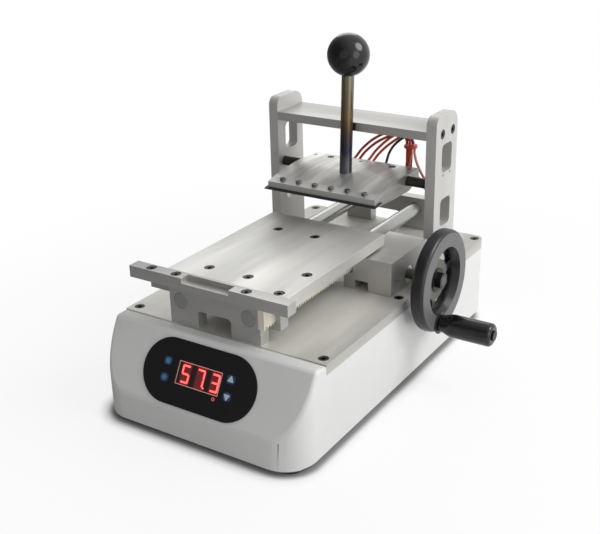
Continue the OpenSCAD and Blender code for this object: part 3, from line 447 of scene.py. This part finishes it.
# The sloping front: X, distance up the slope from its foot and height above it, in millimetres
slope = {"lean": 29.5, "foot": 24.8}
panel = {
    "leftX": -29.3, "rightX": 25.5, "lowS": 20.1, "highS": 32.0, "buttonTop": 1.6,
    "digitH": 12.9, "digitW": 7.0, "stroke": 1.35, "digitsS": 26.4,
    "windowTop": 1.8, "windowX": -0.4, "windowS": 26.5, "windowW": 37.2, "windowH": 16.6,
    "strokeMeet": 0.42, "pointGap": 0.5, "pointRim": 0.15, "pointRise": 0.05,
    "line": 0.45, "film": 0.14, "ringX": 14.9, "ringS": 15.6, "ringR": 1.25, "ringLine": 0.5,
    "markR": 3.1, "markRound": 0.45, "panelTop": 1.0,
}
lean = math.radians(slope["lean"])
slopeFrame = Matrix((
    (mm, 0, 0, 0),
    (0, mm * math.sin(lean), -mm * math.cos(lean), frontWall),
    (0, mm * math.cos(lean), mm * math.sin(lean), slope["foot"] * mm),
    (0, 0, 0, 1),
))


def slopePlace(x, s, n):
    return slopeFrame @ Vector((x, s, n))


# Lever of steel that heat has coloured: blue-black at the head, brown, straw, then plain
leverLook = {
    "blueZ": 140 * mm, "plainZ": 245 * mm, "waver": 12 * mm,
    "stops": [
        (0.0, (0.16, 0.16, 0.18)), (0.1, (0.04, 0.05, 0.075)), (0.26, (0.09, 0.055, 0.05)),
        (0.45, (0.19, 0.135, 0.075)), (0.75, (0.20, 0.175, 0.12)), (1.0, (0.24, 0.225, 0.19)),
    ],
}


def heatedSteel():
    finish = Finish("heatedSteel")
    swirl = finish.noise(160, (1, 1, 0.2), 3, 0.6)
    grain = finish.noise(2400, (1, 1, 0.03), 3, 0.6)
    wavering = finish.along("Z") + (swirl - 0.5) * leverLook["waver"]
    height = finish.spread(wavering, leverLook["blueZ"], leverLook["plainZ"])
    tone = finish.node("ShaderNodeValToRGB", {"stops": leverLook["stops"]}, {0: height})
    finish.set(
        baseColor=tone,
        metallic=1.0,
        roughness=0.24 + (grain - 0.5) * 0.15 + (swirl - 0.5) * 0.1,
        normal=finish.bump(grain, 0.1, 0.00003),
    )
    return finish.material


# Handwheel: enamelled black, with the flat ring of its rim turned to a dull grey and a grey hub
wheelLook = {
    "axisY": 30 * mm, "axisZ": 79.6 * mm, "faceX": 105.6 * mm, "ringFrom": 27 * mm, "hubTo": 17 * mm,
    "blur": 0.3 * mm, "ringBlur": 0.2 * mm, "ridges": 16000,
    "ringTone": (0.14, 0.14, 0.138), "black": (0.004, 0.004, 0.005), "hubTone": (0.10, 0.10, 0.085),
}


def wheelEnamel():
    finish = Finish("wheelEnamel")
    radius = finish.fromAxis(wheelLook["axisY"], wheelLook["axisZ"])
    faceX = wheelLook["faceX"]
    ringFrom = wheelLook["ringFrom"]
    hubTo = wheelLook["hubTo"]
    face = finish.spread(finish.along("X"), faceX, faceX + wheelLook["blur"])
    ring = face * finish.spread(radius, ringFrom - wheelLook["ringBlur"], ringFrom)
    hub = finish.spread(radius, hubTo, hubTo + wheelLook["blur"], 1, 0)
    turned = radius.math("SINE", radius * wheelLook["ridges"])
    cloud = finish.noise(70, detail=3)
    pores = finish.noise(1500, detail=3)
    tone = finish.blendColors(hub, wheelLook["black"], wheelLook["hubTone"])
    finish.set(
        baseColor=finish.blendColors(ring, tone, wheelLook["ringTone"]),
        metallic=0.3 * ring,
        roughness=0.34 + 0.16 * ring + 0.12 * hub + (cloud - 0.5) * 0.16,
        normal=finish.bump(turned * ring + pores * 0.8, 0.14, 0.00004),
        coatWeight=(1 - ring) * 0.05,
        coatRoughness=0.12,
    )
    return finish.material


# Window of the display: smoked red, glowing round the three digits
windowLook = {
    "digitXs": (-11.8, 1.0, 13.8), "litTo": 2.94, "dimFrom": 4.9,
    "dim": (0.012, 0.004, 0.004), "lit": (0.16, 0.004, 0.006),
}


def smokedWindow():
    finish = Finish("smokedWindow")
    across = finish.along("X")
    glow = sum(
        finish.spread(
            abs(across - x * mm), windowLook["litTo"] * mm, windowLook["dimFrom"] * mm, 1, 0
        )
        for x in windowLook["digitXs"]
    )
    haze = finish.noise(300, detail=2)
    tone = finish.blendColors(glow * (0.7 + haze * 0.5), windowLook["dim"], windowLook["lit"])
    finish.set(
        baseColor=tone,
        roughness=0.16 + haze * 0.08,
        emissionColor=tone,
        emissionStrength=0.8,
    )
    return finish.material


# Push button: dark blue film, lighter in the middle
buttonLook = {
    "paleTo": 0.8 * mm, "darkFrom": 4.2 * mm, "waver": 2 * mm,
    "dark": (0.006, 0.014, 0.045), "pale": (0.05, 0.13, 0.24),
}


def buttonFilm(name, x, s):
    finish = Finish(name)
    middle = slopePlace(x, s, panel["buttonTop"])
    place = finish.node(
        "ShaderNodeMapping", inputs={"Vector": finish.place, "Location": tuple(-c for c in middle)}
    )
    away = finish.node("ShaderNodeVectorMath", {"operation": "LENGTH"}, {0: place}, "Value")
    blotch = finish.noise(700, detail=3)
    wavering = away + (blotch - 0.5) * buttonLook["waver"]
    light = finish.spread(wavering, buttonLook["paleTo"], buttonLook["darkFrom"], 1, 0)
    finish.set(
        baseColor=finish.blendColors(light, buttonLook["dark"], buttonLook["pale"]),
        roughness=0.3 + (blotch - 0.5) * 0.1,
        normal=finish.bump(blotch, 0.08, 0.00004),
    )
    return finish.material


# Finishes of the carried-over nodes
finishes = {
    "casing": paintedSteel("whitePaint", (0.68, 0.68, 0.672), 0.4),
    "table": brushedMetal("brushedTable", "Y", (0.58, 0.575, 0.55), 0.42, 0.6, 0.22),
    "plate": brushedMetal("brushedPlate", "Y", (0.62, 0.61, 0.56), 0.5, 0.35, 0.3, 0.07, 17),
    "head": brushedMetal("brushedHead", "Y", (0.56, 0.555, 0.535), 0.36, 0.65, 0.42, 0.07, 44),
    "bars": brushedMetal("brushedAcross", "X", (0.46, 0.455, 0.44), 0.44, 0.75),
    "uprights": brushedMetal("brushedUp", "Z", (0.55, 0.545, 0.53), 0.5, 0.55, 0.06),
    "rackSteel": brushedMetal("creamSteel", "Y", (0.72, 0.69, 0.58), 0.45, 0.5),
    "ground": hardSteel("groundRod", (0.42, 0.42, 0.405), 0.3, worn=0.1, streaks="Y"),
    "blackScrew": hardSteel("blackenedSteel", (0.03, 0.03, 0.032), 0.34, 0.85, 0.4),
    "brightScrew": hardSteel("brightSteel", (0.55, 0.54, 0.51), 0.25),
    "pin": hardSteel("darkPin", (0.045, 0.038, 0.034), 0.4, 0.7, 0.3),
    "hub": hardSteel("hubSteel", (0.11, 0.11, 0.095), 0.4, 0.8),
    "brass": hardSteel("bushBrass", (0.6, 0.42, 0.16), 0.3),
    "bladeSteel": hardSteel("bladeSteel", (0.05, 0.05, 0.052), 0.4, 0.9, 0.25, "X"),
    "bladeScrew": hardSteel("bladeScrew", (0.16, 0.155, 0.145), 0.3, 1.0, 0.5),
    "gloss": mouldedPlastic("glossBlack", (0.004, 0.004, 0.005), 0.16, 0.05, 0.03),
    "satin": mouldedPlastic("satinBlack", (0.02, 0.02, 0.021), 0.34, 0.1, 0.12),
    "panel": mouldedPlastic("panelBlack", (0.004, 0.004, 0.005), 0.25, 0.1, 0.04),
    "rubber": mouldedPlastic("rubberBlack", (0.015, 0.015, 0.015), 0.7, 0.0, 0.35),
    "board": mouldedPlastic("boardGreen", (0.02, 0.16, 0.05), 0.4, 0.3, 0.1),
    "tie": siliconeLead("tieRed", (0.62, 0.045, 0.02)),
    "redSwitch": mouldedPlastic("switchRed", (0.35, 0.01, 0.01), 0.3, 0.2, 0.05),
    "window": smokedWindow(),
    "wheel": wheelEnamel(),
    "lever": heatedSteel(),
}
buttons = {
    "button_upper_left": (panel["leftX"], panel["highS"]),
    "button_lower_left": (panel["leftX"], panel["lowS"]),
    "button_upper_right": (panel["rightX"], panel["highS"]),
    "button_lower_right": (panel["rightX"], panel["lowS"]),
}
for node, (x, s) in buttons.items():
    finishes[node] = buttonFilm(node + "Film", x, s)

nodeFinish = {
    "casing": ["base_casing"],
    "plate": ["top_plate"],
    "table": ["table_plate"],
    "head": ["blade_head"],
    "bars": [
        "front_end_block", "rear_end_block", "front_cross_member", "rear_cross_member",
        "front_bar", "crossbar", "blade_clamp_bar", "pinion_block",
    ],
    "uprights": ["bottom_cover", "left_upright", "right_upright"],
    "rackSteel": ["rack"],
    "ground": ["guide_rods"],
    "blackScrew": ["plate_screws", "table_screws", "crossbar_screws", "wheel_nut"],
    "brightScrew": [
        "cover_screws", "board_posts", "inlet_pins", "shaft_bearings", "pinion", "head_heaters",
        "head_sensor",
    ],
    "hub": ["wheel_shaft"],
    "bladeScrew": ["blade_screws"],
    "pin": ["lever_stop", "pivot_pins", "grip_spindle"],
    "brass": ["guide_bushes"],
    "bladeSteel": ["blade"],
    "gloss": ["lever_ball", "crank_grip"],
    "satin": ["key_switches", "power_inlet", "switch_housing"],
    "panel": ["control_panel"],
    "rubber": ["rubber_feet", "wire_grommet"],
    "board": ["circuit_board"],
    "redSwitch": ["switch_rocker"],
    "window": ["display_module"],
    "wheel": ["handwheel"],
    "lever": ["lever_rod"],
}
for finish, group in nodeFinish.items():
    for node in group:
        for part in nodes[node].material_slots:
            part.material = finishes[finish]
for node in buttons:
    for part in nodes[node].material_slots:
        part.material = finishes[node]
print("finishes assigned")

# Edges: copies of the nodes whose sharp edges are rounded by so many millimetres, which catches the
# light as real edges do; the last ones are only shaded smoothly
sharp = math.radians(32)
edges = {
    0.6: ["left_upright", "right_upright", "rubber_feet"],
    0.5: [
        "table_plate", "front_bar", "front_end_block", "rear_end_block", "crossbar", "blade_head",
        "guide_rods", "wire_grommet", "handwheel",
    ],
    0.4: [
        "top_plate", "front_cross_member", "rear_cross_member", "pinion_block", "blade_clamp_bar",
        "power_inlet", "switch_housing", "switch_rocker", "crank_grip",
    ],
    0.3: [
        "control_panel", "wheel_nut", "grip_spindle", "lever_stop", "lever_rod", "inlet_pins",
        *buttons,
    ],
    0.22: [
        "plate_screws", "table_screws", "crossbar_screws", "cover_screws", "pivot_pins",
        "shaft_bearings",
    ],
    0.12: ["blade", "blade_screws", "rack", "head_heaters", "head_sensor", "display_module"],
    0: ["lever_ball", "wheel_shaft", "pinion", "bottom_cover", "guide_bushes"],
}


def cleanCopy(node):
    piece = bpy.data.objects.new(node.title().replace("_", ""), nodes[node].data.copy())
    bpy.context.collection.objects.link(piece)
    pick(piece)
    bpy.ops.object.mode_set(mode="EDIT")
    bpy.ops.mesh.select_all(action="SELECT")
    bpy.ops.mesh.remove_doubles(threshold=0.000003)
    bpy.ops.mesh.dissolve_limited(angle_limit=math.radians(0.3))
    bpy.ops.object.mode_set(mode="OBJECT")
    return piece


def applyBevel(piece, width, segments, limit="ANGLE"):
    pick(piece)
    bevel = piece.modifiers.new("edges", "BEVEL")
    bevel.width = width * mm
    bevel.segments = segments
    bevel.limit_method = limit
    bevel.angle_limit = sharp
    bevel.use_clamp_overlap = limit == "ANGLE"  # the casing's chosen edges get their full width
    bevel.miter_outer = "MITER_ARC"
    bpy.ops.object.modifier_apply(modifier="edges")


def stayFor(piece, node, rounded=True):
    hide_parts(node)
    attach(piece, bodyOf[node])
    pick(piece)
    bpy.ops.object.shade_smooth_by_angle(angle=sharp)
    if rounded:  # flat faces stay flat beside their rounded edges
        even = piece.modifiers.new("even", "WEIGHTED_NORMAL")
        even.keep_sharp = True
        bpy.ops.object.modifier_apply(modifier="even")


for width, group in edges.items():
    for node in group:
        piece = cleanCopy(node)
        if width:
            applyBevel(piece, width, 2)
        stayFor(piece, node, width > 0)
print("edges rounded")

# Casing: its outer edges are soft, the edges of its openings stay sharp
casing = {
    "soft": 2.8,
    "bottom": 0.35,  # the share of it that the bottom edges get
    "lip": 71.0,
    "halfWidth": 87.5, "sideReach": 2.6, "bottomTop": 3.1,
    "recessHalf": 40, "recessLow": 30, "recessHigh": 65,
    "slopeHalf": 60,
    "near": 0.05, "level": 0.01,
}


def softenCasing():
    piece = cleanCopy("base_casing")
    mesh = piece.data
    weights = mesh.attributes.new("bevel_weight_edge", "FLOAT", "EDGE")
    up = Vector((0, -math.cos(lean), math.sin(lean)))
    foot = slopePlace(0, 0, 0) / mm
    for edge in mesh.edges:
        a, b = (mesh.vertices[v].co / mm for v in edge.vertices)
        widest = max(abs(a.x), abs(b.x))
        lowest, highest = sorted((a.z, b.z))
        onSlope = all(abs((p - foot).dot(up)) < casing["near"] for p in (a, b))
        seam = widest < casing["slopeHalf"] and highest - lowest > casing["level"]
        recess = widest < casing["recessHalf"] and lowest > casing["recessLow"]
        recess = recess and highest < casing["recessHigh"]
        lip = all(abs(p.z - casing["lip"]) < casing["near"] for p in (a, b))
        outside = widest > casing["halfWidth"] - casing["sideReach"]
        if onSlope and not recess and not seam or lip:
            weights.data[edge.index].value = 1
        elif outside and highest < casing["bottomTop"]:
            weights.data[edge.index].value = casing["bottom"]
    return piece


casingPiece = softenCasing()
applyBevel(casingPiece, casing["soft"], 5, "WEIGHT")
stayFor(casingPiece, "base_casing")
print("casing softened")


# Selects the vertices, edges or faces of a piece that pass a test, and stays in edit mode
def selectWhere(piece, kind, test):
    pick(piece)
    bpy.ops.object.mode_set(mode="EDIT")
    bpy.ops.mesh.select_mode(type=kind)
    bpy.ops.mesh.select_all(action="DESELECT")
    bpy.ops.object.mode_set(mode="OBJECT")
    mesh = piece.data
    for part in {"VERT": mesh.vertices, "EDGE": mesh.edges, "FACE": mesh.polygons}[kind]:
        part.select = test(part)
    bpy.ops.object.mode_set(mode="EDIT")


def standing(piece):  # a test for edges that stand upright
    places = piece.data.vertices

    def test(edge):
        start, end = (places[v].co for v in edge.vertices)
        return (end - start).to_2d().length < 0.001

    return test


# Puts a piece made flat, in millimetres, at a place on the slope
def ontoSlope(piece, x, s, n):
    bpy.ops.object.mode_set(mode="OBJECT")
    piece.data.transform(slopeFrame @ Matrix.Translation((x, s, n)))
    return piece


def finishMark(piece, name, material, slot, body):
    piece.name = name
    piece.data.name = name
    paint(piece, material)
    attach(piece, body)


# One stroke of a digit: a six-sided bar with pointed ends
def digitStroke(x, s, length, upright):
    clearSelection()
    radius = panel["stroke"] / math.sqrt(3)
    bpy.ops.mesh.primitive_cylinder_add(vertices=6, radius=radius, depth=panel["film"])
    piece = bpy.context.object
    for sign in (-1, 1):
        selectWhere(piece, "VERT", lambda vertex: vertex.co.y * sign > 0.01)
        bpy.ops.transform.translate(value=(0, sign * (length / 2 - radius), 0))
    bpy.ops.mesh.select_all(action="SELECT")
    if not upright:
        bpy.ops.transform.rotate(value=math.pi / 2, orient_axis="Z", center_override=(0, 0, 0))
    return ontoSlope(piece, x, s, panel["windowTop"] + panel["film"] / 2)


def joined(group):
    clearSelection()
    for piece in group:
        piece.select_set(True)
    bpy.context.view_layer.objects.active = group[0]
    bpy.ops.object.join()
    return bpy.context.object


# A film whose colour also glows: real light for the display's lit strokes, a painted glow for the
# unlit strokes and the printed marks
def litFilm(name, color, glow, deep):
    finish = Finish(name)
    speck = finish.noise(900, detail=2)
    tone = finish.blendColors(speck * deep, color, tuple(c * 0.55 for c in color))
    finish.set(baseColor=tone, roughness=0.4, emissionColor=tone, emissionStrength=glow)
    return finish.material


# The strokes of a seven-stroke digit: how many half widths across and quarter heights up each lies
# from the digit's middle, and whether it stands upright
strokes = {
    "top": (0, 2, False), "middle": (0, 0, False), "bottom": (0, -2, False),
    "highLeft": (-1, 1, True), "highRight": (1, 1, True),
    "lowLeft": (-1, -1, True), "lowRight": (1, -1, True),
}
shown = [  # five, seven and three
    ("top", "highLeft", "middle", "lowRight", "bottom"),
    ("top", "highRight", "lowRight"),
    ("top", "highRight", "middle", "lowRight", "bottom"),
]
lit = []
unlit = []
halfW = (panel["digitW"] - panel["stroke"]) / 2
quarterH = (panel["digitH"] - panel["stroke"]) / 4
for middleX, on in zip(windowLook["digitXs"], shown):
    for name, (across, up, upright) in strokes.items():
        length = 2 * (quarterH if upright else halfW) + panel["stroke"] * panel["strokeMeet"]
        piece = digitStroke(
            middleX + across * halfW, panel["digitsS"] + up * quarterH, length, upright
        )
        (lit if name in on else unlit).append(piece)
clearSelection()
bpy.ops.mesh.primitive_cylinder_add(vertices=12, radius=panel["stroke"] * 0.5, depth=panel["film"])
point = bpy.context.object
selectWhere(point, "FACE", lambda face: face.normal.z > 0.9)
bpy.ops.mesh.inset(thickness=panel["pointRim"])
bpy.ops.transform.translate(value=(0, 0, panel["pointRise"]))
lit.append(ontoSlope(
    point, windowLook["digitXs"][1] + panel["digitW"] / 2 + panel["pointGap"],
    panel["digitsS"] - 2 * quarterH, panel["windowTop"] + panel["film"] / 2,
))
litRed = litFilm("litStroke", (1.0, 0.13, 0.12), 1.35, 0.2)
# the unlit strokes get a faint painted glow
unlitStrokeFaintGlow = litFilm("unlitStroke", (0.055, 0.03, 0.03), 0.5, 0.5)
finishMark(joined(lit), "litStrokes", litRed, "display_red", "base")
finishMark(joined(unlit), "unlitStrokes", unlitStrokeFaintGlow, "display_red", "base")


# A thin raised outline: a flat shape inset and cut out, then thickened
def raisedOutline(piece, scale, line, x, s, n):
    selectWhere(piece, "FACE", lambda face: True)
    bpy.ops.transform.resize(value=scale)
    bpy.ops.mesh.inset(thickness=line)
    bpy.ops.mesh.delete(type="FACE")
    bpy.ops.mesh.select_all(action="SELECT")
    bpy.ops.mesh.extrude_region_move(TRANSFORM_OT_translate={"value": (0, 0, panel["film"])})
    bpy.ops.mesh.select_all(action="SELECT")
    bpy.ops.mesh.normals_make_consistent(inside=False)
    return ontoSlope(piece, x, s, n)


clearSelection()
bpy.ops.mesh.primitive_plane_add(size=1)
outline = raisedOutline(
    bpy.context.object, (panel["windowW"], panel["windowH"], 1), panel["line"],
    panel["windowX"], panel["windowS"], panel["windowTop"],
)
# the pale outline round the window is printed, with a painted glow
paleLineGlow = litFilm("paleLineGlow", (0.62, 0.36, 0.34), 0.25, 0.4)
finishMark(outline, "windowLine", paleLineGlow, "display_red", "base")
clearSelection()
bpy.ops.mesh.primitive_circle_add(vertices=20, radius=panel["ringR"], fill_type="NGON")
degree = raisedOutline(
    bpy.context.object, (1, 1, 1), panel["ringLine"], panel["ringX"], panel["ringS"], panel["panelTop"]
)
# the degree mark is printed red, with a painted glow
degreeRedGlow = litFilm("degreeRedGlow", (0.8, 0.12, 0.12), 0.5, 0.2)
finishMark(degree, "degreeMark", degreeRedGlow, "display_red", "base")
print("display made")

# Marks on the buttons: arrows on the right ones, a square and a lozenge on the left ones, printed with
# a faint painted glow
paleMark = litFilm("paleMark", (0.42, 0.52, 0.58), 0.12, 0.6)
blueMark = litFilm("blueMark", (0.08, 0.19, 0.30), 0.12, 0.7)
marks = [
    ("button_upper_right", 3, 0, paleMark, 1.0),
    ("button_lower_right", 3, math.pi, paleMark, 1.0),
    ("button_upper_left", 4, math.pi / 4, blueMark, 0.82),
    ("button_lower_left", 4, 0, blueMark, 0.75),
]
for node, corners, spin, material, size in marks:
    clearSelection()
    bpy.ops.mesh.primitive_cylinder_add(
        vertices=corners, radius=panel["markR"] * size, depth=panel["film"]
    )
    mark = bpy.context.object
    selectWhere(mark, "EDGE", standing(mark))
    bpy.ops.mesh.bevel(offset=panel["markRound"], segments=3, affect="EDGES")
    bpy.ops.mesh.select_all(action="SELECT")
    bpy.ops.transform.rotate(value=spin, orient_axis="Z", center_override=(0, 0, 0))
    x, s = buttons[node]
    ontoSlope(mark, x, s, panel["buttonTop"] + panel["film"] / 2)
    finishMark(mark, node.title().replace("_", "") + "Mark", material, slotOf[node], bodyOf[node])
print("button marks made")

# Tie: a red sleeve round the leads where they turn down, with rounded edges and dished ends
tie = {
    "x": 38.2, "y": 254.6, "low": 156.5, "height": 3.0, "radius": 5.5,
    "round": 0.8, "rim": 1.28, "dish": 0.8,
}


def leadTie():
    clearSelection()
    bpy.ops.mesh.primitive_cylinder_add(
        vertices=40, radius=tie["radius"] * mm, depth=tie["height"] * mm,
        location=(tie["x"] * mm, tie["y"] * mm + frontWall, (tie["low"] + tie["height"] / 2) * mm),
    )
    piece = bpy.context.object
    bpy.ops.object.transform_apply()
    selectWhere(piece, "FACE", lambda face: abs(face.normal.z) > 0.9)
    bpy.ops.mesh.inset(thickness=tie["rim"] * mm)
    bpy.ops.transform.resize(value=(1, 1, tie["dish"]))
    bpy.ops.object.mode_set(mode="OBJECT")
    applyBevel(piece, tie["round"], 3)
    return piece


tiePiece = leadTie()
tiePiece.name = "leadTie"
paint(tiePiece, finishes["tie"])
stayFor(tiePiece, "cable_tie")
print("tie made")

# Floor and room: white to the camera, lighter to the right and behind, as beside a window. The floor's
# colour holds painted light and shade: a painted contact shadow round the casing's foot, and, in
# reflections and bounced light, painted shade on the side away from the light and a painted glow on
# the side towards it
room = {
    "size": 14, "floor": (0.86, 0.86, 0.86), "floorRough": 0.7,
    "halfWidth": 0.0875, "halfLength": 0.152, "corner": 0.024, "contact": 0.014, "far": 0.4,
    "glowBeneath": 0, "glowNear": 0.8, "glowFar": 1.0, "paintedShadowShare": 0.3,
    "light": (0.72, 0.5, 0.45),
    "mirrorFrom": -0.5, "mirrorTo": 0.75, "mirrorDark": 0.16, "mirrorLight": 1.0,
    "airFrom": -0.7, "airTo": 0.8, "airDark": 0.22, "airLight": 0.75,
    "paperFrom": -0.25, "paperTo": 0.3, "paperPaintedShade": 0.35,
    "lamps": {  # place, size and watts
        "key": ((0.95, 0.35, 1.0), 0.8, 9),
        "side": ((1.3, -0.35, 0.4), 0.9, 3),
        "front": ((0.1, -1.3, 0.4), 1.2, 1.3),
        "top": ((-0.55, 0.9, 0.73), 0.7, 1.6),
    },
    "aim": (0, 0, 0.08),
}


def rayKinds(shading):  # is the ray the camera's own, and is it one that metal or glass sends on
    path = shading.tree.nodes.new("ShaderNodeLightPath")
    fromCamera = Amount(shading.tree, path.outputs["Is Camera Ray"])
    mirrored = Amount(shading.tree, path.outputs["Is Glossy Ray"])
    return fromCamera, mirrored + Amount(shading.tree, path.outputs["Is Transmission Ray"])


clearSelection()
bpy.ops.mesh.primitive_plane_add(size=room["size"], location=(0, 0, 0))
floor = bpy.context.object
floor.name = "floor"
paper = Finish("floorPaper", roughness=room["floorRough"])
fromCamera, mirrored = rayKinds(paper)
lightSide = paper.towards(paper.place, (*room["light"][:2], 0))
side = paper.spread(lightSide, room["paperFrom"], room["paperTo"])
# a painted contact shadow: near the casing's foot the camera sees the floor's colour darkened
past = []
for axis, half in (("X", "halfWidth"), ("Y", "halfLength")):
    beyond = abs(paper.along(axis)) - (room[half] - room["corner"])
    past.append(beyond.math("MAXIMUM", beyond, 0))
squares = past[0] * past[0] + past[1] * past[1]
away = squares.math("SQRT", squares) - room["corner"]
paintedContactShadow = fromCamera * paper.spread(away, 0, room["contact"] / 2, 1, 0)
paintedShadePaper = tuple(c * room["paperPaintedShade"] for c in room["floor"])
paintedShadowPaper = tuple(c * room["paintedShadowShare"] for c in room["floor"])
# painted shade: in reflections and bounced light the floor's colour is darker on the side away from
# the light
tone = paper.blendColors((1 - side) * (1 - fromCamera), room["floor"], paintedShadePaper)
paper.set(baseColor=paper.blendColors(paintedContactShadow, tone, paintedShadowPaper))
close = paper.spread(away, 0, room["contact"], room["glowBeneath"], room["glowNear"])
glowHere = close + paper.spread(away, 0, room["far"], 0, room["glowFar"] - room["glowNear"])
glow = paper.tree.nodes.new("ShaderNodeEmission")
mixer = paper.tree.nodes.new("ShaderNodeMixShader")
# painted glow: in reflections the floor also glows on the side towards the light
paper.feed(mixer.inputs[0], fromCamera * glowHere + mirrored * side * room["glowNear"])
paper.tree.links.new(paper.shader.outputs[0], mixer.inputs[1])
paper.tree.links.new(glow.outputs[0], mixer.inputs[2])
paper.tree.links.new(mixer.outputs[0], paper.output.inputs[0])
paint(floor, paper.material)

world = bpy.data.worlds.new("room")
bpy.context.scene.world = world
world.use_nodes = True
air = Shading(world.node_tree)
fromCamera, mirrored = rayKinds(air)
direction = air.node("ShaderNodeTexCoord", out="Generated")
bright = air.towards(direction, room["light"])
mirror = air.spread(
    bright, room["mirrorFrom"], room["mirrorTo"], room["mirrorDark"], room["mirrorLight"]
)
soft = air.spread(bright, room["airFrom"], room["airTo"], room["airDark"], room["airLight"])
strength = fromCamera + mirrored * mirror + (1 - fromCamera) * (1 - mirrored) * soft
sky = world.node_tree.nodes["Background"]
sky.inputs["Color"].default_value = (1, 1, 1, 1)
air.feed(sky.inputs["Strength"], strength)

for name, (place, size, power) in room["lamps"].items():
    lamp = bpy.data.lights.new(name, "AREA")
    lamp.shape = "DISK"
    lamp.size = size
    lamp.energy = power
    lampObject = bpy.data.objects.new(name, lamp)
    bpy.context.collection.objects.link(lampObject)
    lampObject.location = place
    aim = Vector(room["aim"]) - Vector(place)
    lampObject.rotation_euler = aim.to_track_quat("-Z", "Y").to_euler()
bpy.context.scene.view_settings.view_transform = "Standard"
print("stage lit")
